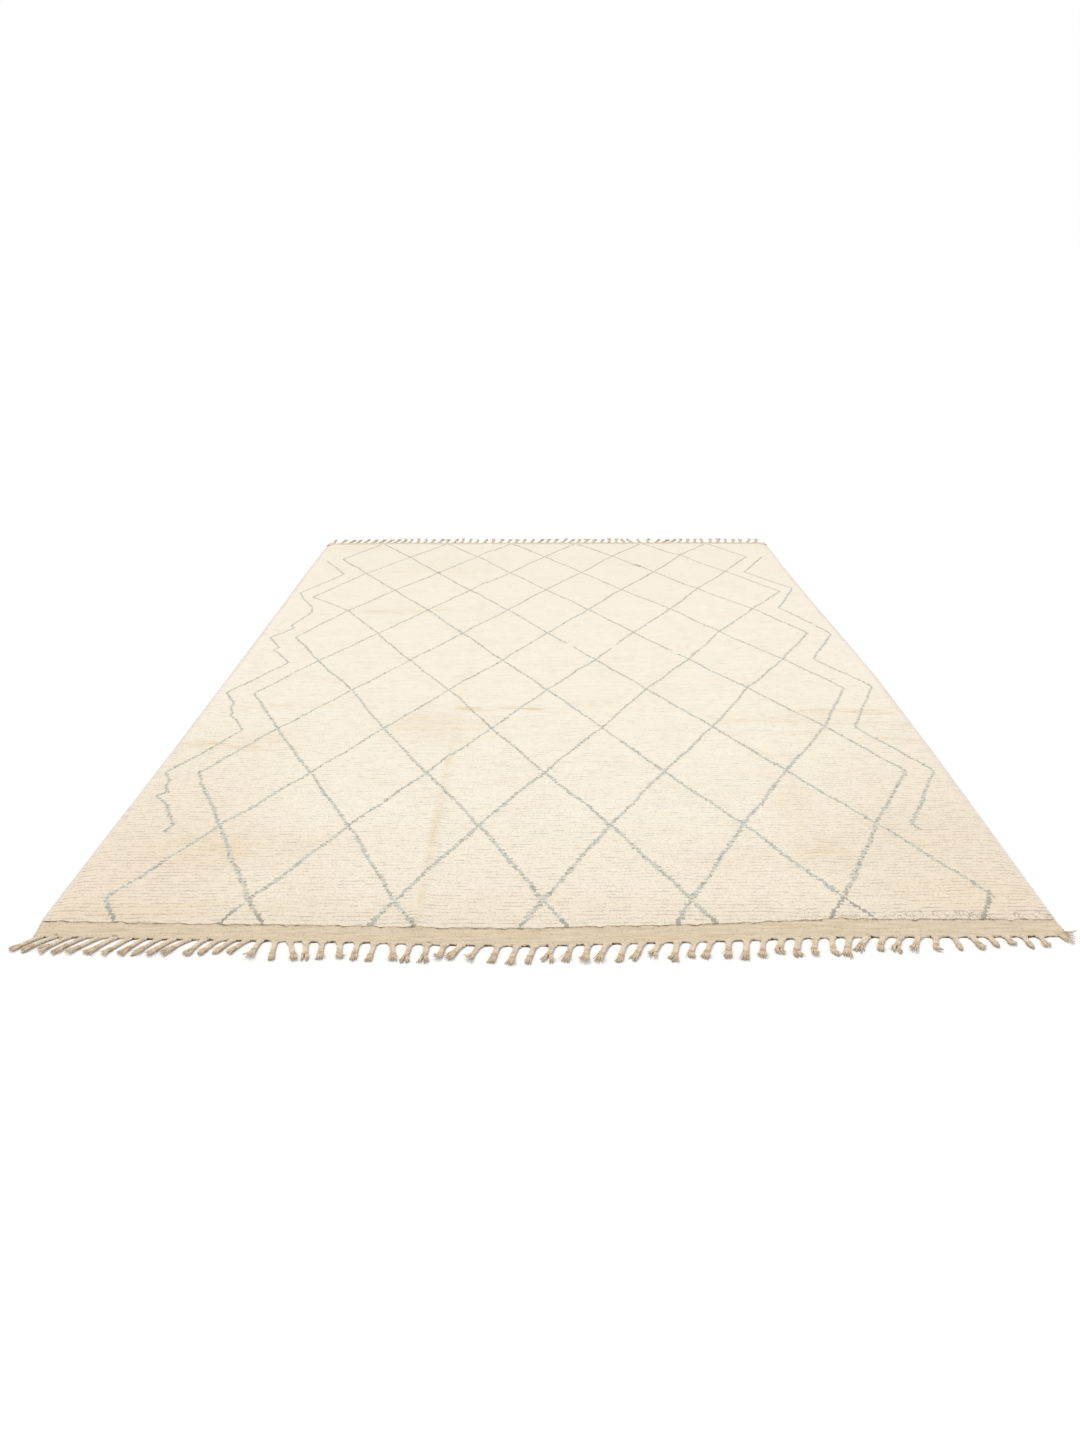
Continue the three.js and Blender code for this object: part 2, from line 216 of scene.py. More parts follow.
# The guard lines outside the trellis, corner by corner from the far end.
LEFT_GUARD = [
    (-1.42, 1.569), (-1.25, 1.299), (-1.44, 0.949), (-1.394, 0.846), (-1.312, 0.708), (-1.295, 0.64),
    (-1.359, 0.421), (-1.331, 0.39), (-1.351, 0.372), (-1.423, 0.26), (-1.343, 0.123), (-1.367, 0.098),
    (-1.322, 0.055), (-1.248, -0.06), (-1.441, -0.397), (-1.369, -0.515), (-1.379, -0.534),
    (-1.351, -0.592), (-1.355, -0.613), (-1.313, -0.663), (-1.261, -0.75), (-1.387, -0.993),
    (-1.454, -1.095), (-1.413, -1.155), (-1.41, -1.198), (-1.386, -1.232), (-1.421, -1.262),
    (-1.371, -1.305), (-1.325, -1.383), (-1.288, -1.439), (-1.304, -1.484),
]
RIGHT_GUARD = [
    (1.403, 1.599), (1.233, 1.299), (1.447, 0.993), (1.433, 0.936), (1.297, 0.666), (1.413, 0.426),
    (1.423, 0.393), (1.48, 0.276), (1.297, -0.041), (1.48, -0.358), (1.28, -0.741), (1.47, -1.098),
    (1.257, -1.451), (1.27, -1.481),
]
# Where a line was left out for a few knots: across, along, radius.
LINE_GAPS = [
    (1.407, 0.400, 0.010), (0.130, 0.146, 0.014), (0.322, 0.135, 0.018), (0.645, 0.048, 0.014),
    (0.686, 0.022, 0.012),
]
# Where a few knots are darker: across, along, radius.
LINE_BLOTS = [(0.587, 1.436, 0.022), (-0.660, 1.309, 0.010)]
# Darker wool in the lines: along, strength.
LINE_DEPTH = [(-0.5, 0.0), (1.4, 0.40), (1.6, 0.45), (1.9, 0.80)]
# The same in their last knots at the near end: across, how far in, strength.
LAST_KNOTS = [
    (-0.72, 0.035, 0.92), (-0.6, 0.02, 0.55), (-0.25, 0.02, 0.55), (0.0, 0.02, 0.8), (0.6, 0.02, 0.8),
    (0.78, 0.085, 0.82), (1.4, 0.07, 0.82),
]
# Tan bands where the weaver changed to wool of another dye lot: low x, high x, y, strength.
ABRASH = [
    (-0.95, -0.45, 1.333, 0.4), (-1.11, -0.45, 0.645, 0.45), (-1.1, -0.8, 0.615, 0.3),
    (-1.3, -0.95, -0.535, 0.35), (-0.34, -0.06, -0.565, 0.95), (-0.58, -0.3, -0.675, 0.55),
    (-0.62, -0.34, -0.74, 0.5), (-0.66, -0.33, -0.86, 0.3), (0.78, 1.04, -0.69, 0.5),
    (1.1, 1.42, -0.605, 0.85), (1.2, 1.46, -0.72, 0.4), (1.34, 1.5, -0.855, 0.45),
    (0.7, 1.13, -0.79, 0.3), (-1.49, -1.2, -0.87, 0.6), (-1.35, -1.03, -0.91, 0.4),
    (0.41, 0.61, 1.443, 0.3),
]
STREAK_REACH = 0.022  # of a tan streak, along the rug
STREAK_FADE = 0.06  # past a streak's ends
CREASE_STAIN_REACH = 0.013
# Patches of pile in a yellower wool: across, along, reach across, reach along, strength.
YELLOWED = [
    (-1.03, -1.58, 0.29, 0.1, 1.1), (-0.5, -0.72, 0.24, 0.12, 0.9), (-1.12, -0.81, 0.14, 0.05, 0.6),
    (0.87, -1.28, 0.09, 0.2, 0.65), (0.92, -1.62, 0.12, 0.1, 1.1), (1.15, -1.82, 0.4, 0.08, 0.5),
    (1.25, -1.5, 0.25, 0.14, 0.5), (-1.2, -1.76, 0.3, 0.09, 0.15), (1.1, -0.66, 0.22, 0.06, 0.6),
    (0.6, -1.66, 0.2, 0.09, 0.4), (0.0, -1.86, 0.35, 0.05, 0.4), (-0.75, -1.8, 0.12, 0.09, 0.4),
    (-0.75, 0.64, 0.35, 0.08, 0.4), (-1.22, 1.86, 0.22, 0.09, 0.5), (-1.1, -1.89, 0.55, 0.04, 0.8),
    (-0.7, 1.4, 0.4, 0.15, 0.3),
]

# What differs from place to place in the pile, stored on its points.
PILE_MARKS = (
    "falling", "rising", "outside", "guard", "past", "left_out", "blot", "tan", "crease",
    "yellowed", "grainy", "wear_and_shade", "line_depth", "edge", "last_rows",
)
# The unevennesses of the wool: name, waves for each metre, detail, roughness. Streaks have
# their waves across, along and upwards. Beside each is its real size in millimetres.
PILE_NOISES = [
    ("drift", 3.5, 2.0, 0.5),  # 290
    ("tousle", 130.0, 1.0, 0.6),  # 8, about one knot
    ("dashes", (16.0, 110.0, 1.0), 6.0, 0.8),  # 62 by 9
    ("patches", 2.4, 3.0, 0.6),  # 420
    ("lots", (3.0, 38.0, 1.0), 5.0, 0.65),  # 330 by 26
    ("mottle", 5.0, 5.0, 0.65),  # 200
    ("streaks", (7.0, 70.0, 1.0), 4.0, 0.7),  # 140 by 14
    ("rubbing", 16.0, 3.0, 0.6),  # 62
    ("clouds", (8.0, 40.0, 1.0), 3.0, 0.6),  # 125 by 25
    ("grains", 170.0, 2.0, 0.6),  # 6
    ("bending", 40.0, 3.0, 0.6),  # 25
    ("parting", 45.0, 3.0, 0.6),  # 22
    ("boldness", 2.5, 2.0, 0.6),  # 400
    ("line_lots", 9.0, 3.0, 0.6),  # 110
    ("fuzz", 170.0, 3.0, 0.6),  # 6, the ends of single knots
]

# The camera, at the photograph's viewing angle.
CAMERA_PLACE = (0.0058, -3.9688, 1.7363)
CAMERA_DOWN = 0.4815
CAMERA_TURN = 0.0089
CAMERA_ROLL = -0.0081
CAMERA_LENS = 22.0

# Soft studio light on pale paper: an even white surround, and a broad key from behind the
# far end, tipped and tilted from overhead by so many degrees.
FLOOR_REACH = 150.0  # out to the horizon
FLOOR_COLOUR = "#F2F1F0"
SKY_STRENGTH = 0.80
KEY_STRENGTH = 1.45
KEY_COLOUR = (1.0, 0.985, 0.965)
KEY_SPREAD = 30
KEY_TIP = -30
KEY_TILT = -12

COARSE_CELL = 0.0358  # of the pile's underside; its top is three times as fine
BAND_CELLS = (125, 3)  # of a flat-woven end, across and along
TOP_CUTS = 2
CORD_STEPS = 3  # in each turn of a cord's wool, the first of them drawn in
DRAWN_IN = 0.84

# Settings of the nodes that mix colours and work out values.
BLEND = {"out": 2, "data_type": "RGBA"}
PLUS = {"operation": "ADD"}
MINUS = {"operation": "SUBTRACT"}
TIMES = {"operation": "MULTIPLY"}
TIMES_PLUS = {"operation": "MULTIPLY_ADD"}
OVER = {"operation": "DIVIDE"}
MOST = {"operation": "MAXIMUM"}
LEAST = {"operation": "MINIMUM"}


def linear(colour):
    """An sRGB hex colour as linear red, green and blue."""
    parts = [int(colour[i : i + 2], 16) / 255 for i in (1, 3, 5)]
    return [c / 12.92 if c <= 0.04045 else ((c + 0.055) / 1.055) ** 2.4 for c in parts]


def length_property(name, description, default):
    """A length in metres that a user may change."""
    return bpy.props.FloatProperty(
        name=name,
        description=description,
        default=default,
        min=0.0,
        precision=4,
        subtype="DISTANCE",
        unit="LENGTH",
    )


def colour_property(name, description, default):
    """A colour that a user may change, given as sRGB hex."""
    return bpy.props.FloatVectorProperty(
        name=name,
        description=description,
        default=linear(default),
        size=3,
        min=0.0,
        max=1.0,
        subtype="COLOR",
    )


class RugSizes(bpy.types.PropertyGroup):
    """Sizes of the yarns and knots."""

    knot_width: length_property("Knot Width", "Width of one knot across the rug", 0.007)
    row_pitch: length_property("Row Pitch", "From one row of knots to the next", 0.0075)
    line_width: length_property("Line Width", "Width of a trellis line", 0.0098)
    strand_radius: length_property("Strand Radius", "Radius of a plait's strand", 0.0035)
    knot_radius: length_property("Knot Radius", "Radius of the yarn that ties a plait", 0.0027)
    plait_turn: length_property("Plait Turn", "Length of a plait's full turn", 0.034)
    loose_radius: length_property("Loose End Radius", "Radius of a loose warp yarn", 0.0014)
    lock_radius: length_property("Lock Radius", "Radius of a wool lock at the rim", 0.0028)
    lock_pitch: length_property("Lock Pitch", "From one rim lock to the next", 0.0046)
    wrap_pitch: length_property("Wrap Pitch", "From one turn of overcasting to the next", 0.005)


class RugColours(bpy.types.PropertyGroup):
    """Colours of the wools, and of the shade and light painted on them."""

    ivory: colour_property("Ivory", "Undyed pile wool", "#ECE5D6")
    # Also painted shade, over the pile's near half and its far end.
    ivory_deep: colour_property("Deep Ivory", "Darker lots of the pile wool", "#E0D0B7")
    tan: colour_property("Tan", "Abrash streaks", "#D2B887")
    furrow: colour_property("Furrow", "Shade between rows of knots", "#BBA286")
    line: colour_property("Line", "Trellis wool", "#D0CCBC")
    line_cool: colour_property("Cool Line", "Bluer lots of the trellis wool", "#C3C7BD")
    line_deep: colour_property("Deep Line", "Darker knots of the trellis", "#A09A8D")
    band: colour_property("Band", "Weft of the flat-woven ends", "#D6C7AC")
    band_deep: colour_property("Deep Band", "Shaded weft", "#BDA98A")
    # Also painted shade: the dark lines at the band's seam with the pile, along its last weft, and in
    # the partings of the pile's last rows.
    hem_and_shade: colour_property("Hem", "The last weft, twined in brown wool", "#5F4B36")
    plait: colour_property("Plait", "Plaited warps", "#DDCEB5")
    # The plaits' and loose ends' painted shade on their lower sides, and their darker patches.
    plait_patches_and_shade: colour_property("Deep Plait", "Lower sides of the strands", "#AE977A")
    knot: colour_property("Knot", "Knots that close the plaits", "#D0B999")
    # The knots' painted shade on their lower sides, and their darker patches.
    knot_patches_and_shade: colour_property("Deep Knot", "Lower sides of the knots", "#A68C6E")
    loose: colour_property("Loose Ends", "Frayed tips of the warps", "#D6C5AA")
    # Painted light: the far end's yarns, band and cord are lightened towards this colour.
    far_painted_light: colour_property("Faded Warps", "Yarns at the far end, bleached", "#E0D5C4")
    cord: colour_property("Cord", "Overcast selvedge wool", "#E8E0D9")
    cord_deep: colour_property("Deep Cord", "Shaded turns of the overcasting", "#D5D1CF")


def scatter(seed):
    """The same scattered number from -1 to 1 for the same seed."""
    wave = math.sin(seed * 127.1 + 11.7) * 43758.5453
    return 2 * (wave - math.floor(wave)) - 1


def wander(at, period, phase):
    """A slow wander from -1 to 1 along a length, one full turn each period."""
    turn = 2 * np.pi * np.asarray(at) / period
    return 0.7 * np.sin(turn + phase) + 0.3 * np.sin(2.3 * turn + 2 * phase)


def from_table(rows, column, at, by=0):
    """The value of a table's column at a place between its rows, found by another column."""
    return np.interp(at, [row[by] for row in rows], [row[column] for row in rows])


def side_at(side, along):
    """Across the rug, the cloth's side at a place along it."""
    return side * (CLOTH_REACH + from_table(SIDES, 1 if side < 0 else 2, along))


def pile_end(end, across):
    """Along the rug, the edge of the pile at one end."""
    return end["outward"] * (PILE_LENGTH / 2 + from_table(end["outline"], 1, across))


def band_end(end, across):
    """Along the rug, the outer edge of a flat-woven end."""
    return pile_end(end, across) + end["outward"] * (GAP + from_table(end["outline"], 2, across))


def widening(across, y):
    """How many times wider the cloth is there than its even columns."""
    out = np.where(np.asarray(across) < 0, from_table(SIDES, 1, y), from_table(SIDES, 2, y))
    return 1 + out / CLOTH_REACH


def x_at(across, y):
    """A point of the cloth's plan, from its even columns to its uneven width."""
    return across * widening(across, y)


def seam_stray(across):
    """How far the line between the pile and a flat-woven end strays along the rug."""
    return SEAM_STRAY * wander(across, 0.071, 0.2) * wander(across, 0.310, 1.7)


def pile_y_at(across, along):
    """A point of the pile's plan, from its even rows to its uneven length."""
    reach = np.where(along < 0, -pile_end(NEAR_END, across), pile_end(FAR_END, across))
    return along * reach / (PILE_LENGTH / 2)


def fold_height(across):
    """How far the cloth stands off the floor, along its stored folds."""
    total = 0.0
    for middle, height, half_width in CREASES:
        off = np.clip(np.abs(np.asarray(across) - middle) / half_width, 0, 1)
        total = total + height * (1 + np.cos(np.pi * off)) / 2
    return total


def pile_height(across, along):
    """The pile's uneven top, a little thicker in some places than in others."""
    slow = wander(across + 0.4 * along, 0.700, 0.5) * wander(along, 0.560, 1.9)
    quick = wander(across - 0.3 * along, 0.093, 1.1) * wander(along + 0.2 * across, 0.071, 0.4)
    return PILE_THICKNESS + 0.001 * slow + 0.0005 * quick


def rim_share(inset):
    """The share of its thickness that the pile has, so far in from its edge."""
    return from_table(RIM, 1, inset)


def points_of(mesh):
    """A mesh's vertices as rows of x, y and z."""
    co = np.empty(len(mesh.vertices) * 3, np.float32)
    mesh.vertices.foreach_get("co", co)
    return co.reshape(-1, 3).astype(float)


def set_points(mesh, points):
    mesh.vertices.foreach_set("co", points.astype(np.float32).ravel())
    mesh.update()


def add_piece(name, mesh, materials, replaces=()):
    """Links a finished mesh as a piece that rides on the rug."""
    mesh.name = name
    mesh.materials.clear()
    for material in materials:
        mesh.materials.append(material)
    piece = bpy.data.objects.new(name, mesh)
    bpy.context.scene.collection.objects.link(piece)
    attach(piece, "root")
    if replaces:
        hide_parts(*replaces)
    return piece


def slab(name, columns, rows, cuts, place):
    """A closed slab whose top is finer than its underside. Place moves its points from a
    unit square's own place, with True for the top, to the cloth's."""
    shape = bmesh.new()
    bmesh.ops.create_grid(shape, x_segments=columns, y_segments=rows, size=0.5)
    raised = bmesh.ops.extrude_face_region(shape, geom=shape.faces[:], use_keep_orig=True)
    top = [item for item in raised["geom"] if isinstance(item, bmesh.types.BMVert)]
    bmesh.ops.translate(shape, verts=top, vec=(0, 0, 1))
    top_edges = [edge for edge in shape.edges if all(v.co.z > 0.5 for v in edge.verts)]
    bmesh.ops.subdivide_edges(shape, edges=top_edges, cuts=cuts, use_grid_fill=True)
    bmesh.ops.recalc_face_normals(shape, faces=shape.faces[:])
    mesh = bpy.data.meshes.new(name)
    shape.to_mesh(mesh)
    shape.free()
    points = points_of(mesh)
    set_points(mesh, np.column_stack(place(points[:, 0], points[:, 1], points[:, 2] > 0.5)))
    mesh.shade_smooth()
    mesh.set_sharp_from_angle(angle=math.radians(35))
    return mesh


def yarns(name, strands, roughly_round):
    """Round strands in one mesh, each a list of points with the radius at each point."""
    curve = bpy.data.curves.new(name, "CURVE")
    curve.dimensions = "3D"
    curve.bevel_depth = 1.0
    curve.bevel_resolution = roughly_round
    curve.use_fill_caps = True
    for points, radii in strands:
        spline = curve.splines.new("POLY")
        spline.points.add(len(points) - 1)
        rows = np.column_stack([np.asarray(points, float), np.ones(len(points))])
        spline.points.foreach_set("co", rows.ravel())
        spline.points.foreach_set("radius", np.asarray(radii, float))
    holder = bpy.data.objects.new(name, curve)
    bpy.context.scene.collection.objects.link(holder)
    mesh = bpy.data.meshes.new_from_object(holder)
    bpy.data.objects.remove(holder)
    bpy.data.curves.remove(curve)
    shape = bmesh.new()
    shape.from_mesh(mesh)
    bmesh.ops.remove_doubles(shape, verts=shape.verts[:], dist=1e-6)
    shape.to_mesh(mesh)
    shape.free()
    mesh.shade_smooth()
    return mesh


def trellis_rows():
    """The trellis's points, row by row."""
    rows = []
    for number, (along, first, last, left, right) in enumerate(TRELLIS):
        count = ODD_CROSSINGS if left else EVEN_CROSSINGS
        row = []
        for i in range(count):
            seed = 10 * number + i
            share = i / (count - 1)
            x = first + (last - first) * share + CROSSING_SPREAD * scatter(seed)
            x += from_table(SWAY, 1, along) * math.sin(math.pi * share)
            y = along + CROSSING_SPREAD * scatter(seed + 0.5)
            y = min(y, pile_end(FAR_END, x) - LAST_ROW_MARGIN)
            row.append((x, y))
        rows.append([left, *row, right] if left else row)
    return rows


def line_number(x, y, side):
    """Numbers the trellis's lines that fall to one side: whole on each line, and even from
    there to the next."""
    lines = {}
    for number, row in enumerate(trellis_rows()):
        for place, point in enumerate(row):
            label = place - (number + 1) // 2 if side > 0 else place + number // 2
            lines.setdefault(label, []).append(point)
    across = []
    for label in sorted(lines):
        (top_x, top_y), (low_x, low_y) = lines[label][0], lines[label][-1]
        last = low_y < TRELLIS[-1][0] + 2 * CROSSING_SPREAD
        lean = from_table(LAST_LEANS, 1, low_x) if last else TRELLIS_LEAN
        start = (low_x + side * lean * (low_y + BEYOND), -BEYOND)
        stop = (top_x - side * TRELLIS_LEAN * (BEYOND - top_y), BEYOND)
        run = [start, *reversed(lines[label]), stop]
        across.append(from_table(run, 0, y, by=1))
    wide = 10
    stack = np.array([across[0] - wide * TRELLIS_PITCH, *across, across[-1] + wide * TRELLIS_PITCH])
    first, last = min(lines), max(lines)
    numbers = np.array([first - wide, *range(first, last + 1), last + wide])
    after = np.clip((stack < x).sum(axis=0), 1, len(stack) - 1)
    low, high = (np.take_along_axis(stack, (after - k)[None], axis=0)[0] for k in (1, 0))
    return numbers[after - 1] + (numbers[after] - numbers[after - 1]) * (x - low) / (high - low)


def off_guard(x, y):
    """How far a point is from its side's guard line, negative on the line's left."""
    distance = np.full(len(x), 1.0)
    for guard in (LEFT_GUARD, RIGHT_GUARD):
        nearest = np.full(len(x), 1.0)
        for (ax, ay), (bx, by) in zip(guard, guard[1:]):
            run_x, run_y = bx - ax, by - ay
            share = np.clip(((x - ax) * run_x + (y - ay) * run_y) / (run_x**2 + run_y**2), 0, 1)
            nearest = np.minimum(nearest, np.hypot(x - ax - share * run_x, y - ay - share * run_y))
        line = from_table(guard[::-1], 0, y, by=1)
        own = (x < 0) == (guard is LEFT_GUARD)
        distance = np.where(own, np.sign(x - line) * nearest, distance)
    return distance


def spots(x, y, places):
    """1 in the middle of each place, and down to 0 at twice its radius."""
    total = np.zeros(len(x))
    for spot_x, spot_y, radius in places:
        total += np.clip(2 - np.hypot(x - spot_x, y - spot_y) / radius, 0, 1)
    return total


def store(mesh, name, values):
    """Stores a value on each point, where a material reads it."""
    attribute = mesh.attributes.new(name, "FLOAT", "POINT")
    attribute.data.foreach_set("value", values.astype(np.float32))


def mark_pattern(mesh):
    """Stores on each point where it is in the pattern, how its wool differs there, and where shade is
    painted on it.
    """
    x, y = points_of(mesh)[:, :2].T
    wavy_x = x + LINE_SWAY * wander(y, 0.21, 0.3)
    wavy_y = y + LINE_RISE * wander(x, 0.26, 1.3)
    cornered = [row for row in reversed(TRELLIS) if row[3]]
    left_at, right_at = (from_table([row[side] for row in cornered], 0, y, by=1) for side in (3, 4))
    guard_top = np.where(x < 0, LEFT_GUARD[0][1], RIGHT_GUARD[0][1])
    tan = np.zeros(len(x))
    for low, high, along, strength in ABRASH:
        outside = np.maximum(np.maximum(low - x, x - high), 0) / STREAK_FADE
        bent = along + 0.010 * wander(x, 0.45, 5 * along)
        tan += strength * np.exp(-(outside**2) - ((y - bent) / STREAK_REACH) ** 2)
    yellowed = np.zeros(len(x))
    for middle_x, middle_y, reach_x, reach_y, strength in YELLOWED:
        off_x, off_y = (x - middle_x) / reach_x, (y - middle_y) / reach_y
        yellowed += strength * np.exp(-(off_x**2) - off_y**2)
    crease = np.zeros(len(x))
    for middle, start, stop, strength in CREASE_STAINS:
        shown = np.interp(y, [start - 0.2, start, 0.5 * (start + stop), stop], [0, 1, 1, 0])
        crease += strength * shown * np.exp(-(((x - middle) / CREASE_STAIN_REACH) ** 2))
    reach = np.where(x < 0, -side_at(-1, y), side_at(1, y))
    to_side, to_end = reach - np.abs(x), y - pile_end(NEAR_END, x)
    # Wear, and painted shade: darker over the near half, most just inside its sides, and towards the
    # far end, and a little lighter at the very rim, so the middle looks lighter.
    near = np.interp(y, [-1.80, -1.20, -0.30], [1.0, 0.65, 0.15])
    wear_and_shade = near * np.interp(to_side, [0.0, 0.02, 0.35, 0.85], [0.30, 1.0, 0.85, 0.0])
    # The first 55 cm were knotted from a slightly darker lot, across the whole width.
    lot_ends = y + 0.02 * wander(x, 0.90, 0.7)
    wear_and_shade = np.maximum(wear_and_shade, np.interp(lot_ends, [-1.93, -1.80, -1.44, -1.37], [0.60, 0.40, 0.30, 0.0]))
    wear_and_shade = np.maximum(wear_and_shade, np.interp(y, [0.3, 1.6], [0.0, 0.34]))
    last_knots = from_table(LAST_KNOTS, 2, x)
    last_knots = last_knots * np.clip(2 - to_end / from_table(LAST_KNOTS, 1, x), 0, 1)
    last_rows = np.interp(to_end, [0.006, 0.018, 0.026], [0.5, 1.0, 0.0])
    marks = {
        "falling": line_number(wavy_x, wavy_y, 1),
        "rising": line_number(wavy_x, wavy_y, -1),
        "outside": 2 * np.maximum(left_at - x, x - right_at),
        "guard": off_guard(wavy_x, wavy_y),
        "past": np.maximum(y - guard_top, LEFT_GUARD[-1][1] - y),
        "left_out": 0.02 * spots(x, y, LINE_GAPS) - 0.005 * spots(x, y, LINE_BLOTS),
        "blot": spots(x, y, LINE_BLOTS),
        "line_depth": np.maximum(last_knots, from_table(LINE_DEPTH, 1, y)),
        "tan": tan,
        "crease": crease,
        "yellowed": yellowed,
        "grainy": np.interp(y, [-1.75, -1.20, -0.80, 0.5], [1.0, 0.75, 0.35, 0.15]),
        "wear_and_shade": wear_and_shade,
        "edge": np.interp(to_side, [0.0, 0.02], [1.0, 0.0]),
        "last_rows": last_rows * np.interp(x, [0.70, 1.00], [0.10, 1.0]),
    }
    for name in PILE_MARKS:
        store(mesh, name, marks[name])


def add_node(tree, kind, inputs=(), out=0, **settings):
    """Adds a shader node with its settings. Its inputs are set or linked, by name or in the
    order of its sockets, and one of its outputs is given back."""
    made = tree.nodes.new("ShaderNode" + kind)
    for key, value in settings.items():
        setattr(made, key, value)
    for key, value in inputs.items() if isinstance(inputs, dict) else enumerate(inputs):
        if isinstance(value, bpy.types.NodeSocket):
            tree.links.new(value, made.inputs[key])
        else:
            made.inputs[key].default_value = value
    return made.outputs[out] if made.outputs else None


def new_material(name):
    """A material with an empty tree, what adds a node to it, and its object coordinates."""
    material = bpy.data.materials.new(name)
    material.use_nodes = True
    material.node_tree.nodes.clear()
    node = functools.partial(add_node, material.node_tree)
    return material, node, node("TexCoord", out="Object")


def finish_material(node, colour, height, depth):
    """The shader of a matt textile: a colour, a height for its bump, and a soft sheen."""
    normal = node("Bump", {"Height": height, "Distance": depth, "Strength": 1.0}, "Normal")
    look = {"Base Color": colour, "Roughness": 0.95, "Specular IOR Level": 0.2, "Normal": normal}
    shader = node("BsdfPrincipled", {**look, "Sheen Weight": 0.15, "Sheen Roughness": 0.6})
    node("OutputMaterial", {"Surface": shader})


def far_painted_light(node, place, colour):
    """The colour, and at the rug's far end the same colour lightened paler and greyer: painted light.
    """
    share = node("MapRange", [node("SeparateXYZ", [place], "Y"), 1.7, 2.0, 0.0, 0.25])
    pale = rgb(bpy.context.scene.rug_colours.far_painted_light)
    return node("Mix", {0: share, 6: colour, 7: pale}, **BLEND)


def rgb(colour):
    """A linear colour as a node takes it."""
    return (*colour, 1.0)


def pile_ground(node, across, along, hollow, marks, noises):
    """The colour of the pile's wool, with its furrows, and painted shade in the partings of its last
    rows, along its sides and over parts of its wear.
    """
    colours = bpy.context.scene.rug_colours
    # A furrow shows here and there, as a broken dash, where the pile has parted or worn down.
    opened = node("Math", [marks["wear_and_shade"], 0.04, noises["dashes"]], **TIMES_PLUS)
    furrow = node("Math", [hollow, node("MapRange", [opened, 0.54, 0.65])], **TIMES)
    patches = node("MapRange", [noises["patches"], 0.45, 0.60, 0.06, 1.0])
    strength = node("MapRange", [marks["wear_and_shade"], 0.0, 1.0, 0.12, 0.24])
    shown = node("Math", [node("Math", [furrow, patches], **TIMES), strength], **TIMES)
    # Dye lots in short streaks and soft clouds, browner where feet and hands wear the wool. The wear
    # mark also carries painted shade that darkens the near half and the far end and leaves the middle
    # lighter.
    streaky = node("MapRange", [noises["lots"], 0.42, 0.68, 0.0, 0.26])
    mottled = node("MapRange", [noises["mottle"], 0.40, 0.70, 0.0, 0.20])
    lot = node("Math", [streaky, mottled], **PLUS)
    aged_and_shaded = node("Math", [lot, node("Math", [marks["wear_and_shade"], 0.72], **TIMES)], **MOST)
    stained = 0.0
    for mark, noise, low, high, least, most in (
        ("tan", "streaks", 0.42, 0.66, 0.0, 1.0),
        ("crease", "rubbing", 0.35, 0.65, 0.06, 0.25),
        ("yellowed", "clouds", 0.35, 0.60, 0.08, 0.34),
    ):
        uneven = node("MapRange", [noises[noise], low, high, least, most])
        stain = node("Math", [marks[mark], uneven], **TIMES)
        stained = node("Math", [stained, stain], **MOST)
    # Grains where the ends of the knots stand apart: 6 mm wide, and seen at the near end.
    grains = node("MapRange", [noises["grains"], 0.50, 0.72, 0.0, 0.45])
    grained = node("Math", [grains, marks["grainy"]], **TIMES)
    ribs = node("Math", [hollow, 0.05], **TIMES)
    shaded = node("Math", [node("Math", [shown, ribs], **MOST), grained], **MOST)
    # The last rows at the near end were cut loosely. Their tufts, 12 mm wide, part, and painted shade
    # darkens the partings in crescents.
    bent = node("CombineXYZ", [across, node("Math", [noises["bending"], 0.012, along], **TIMES_PLUS)])
    tufts = node("TexVoronoi", {"Vector": bent, "Scale": 80.0}, feature="DISTANCE_TO_EDGE")
    parting = node("MapRange", [noises["parting"], 0.49, 0.56])
    crescents = node("Math", [node("MapRange", [tufts, 0.02, 0.09, 1.0, 0.0]), parting], **TIMES)
    crescents = node("Math", [crescents, marks["last_rows"]], **TIMES)
    # Painted shade along the pile's sides, in the cord's shaded colour.
    side_shade = node("MapRange", [marks["edge"], 0.30, 1.0, 0.0, 0.55])
    parting_shade = node("Math", [crescents, 0.50], **TIMES)
    ground = rgb(colours.ivory)
    for share, darker in (
        (aged_and_shaded, colours.ivory_deep),
        (stained, colours.tan),
        (shaded, colours.furrow),
        (side_shade, colours.cord_deep),
        (parting_shade, colours.hem_and_shade),
    ):
        ground = node("Mix", {0: share, 6: ground, 7: rgb(darker)}, **BLEND)
    return ground, furrow, crescents


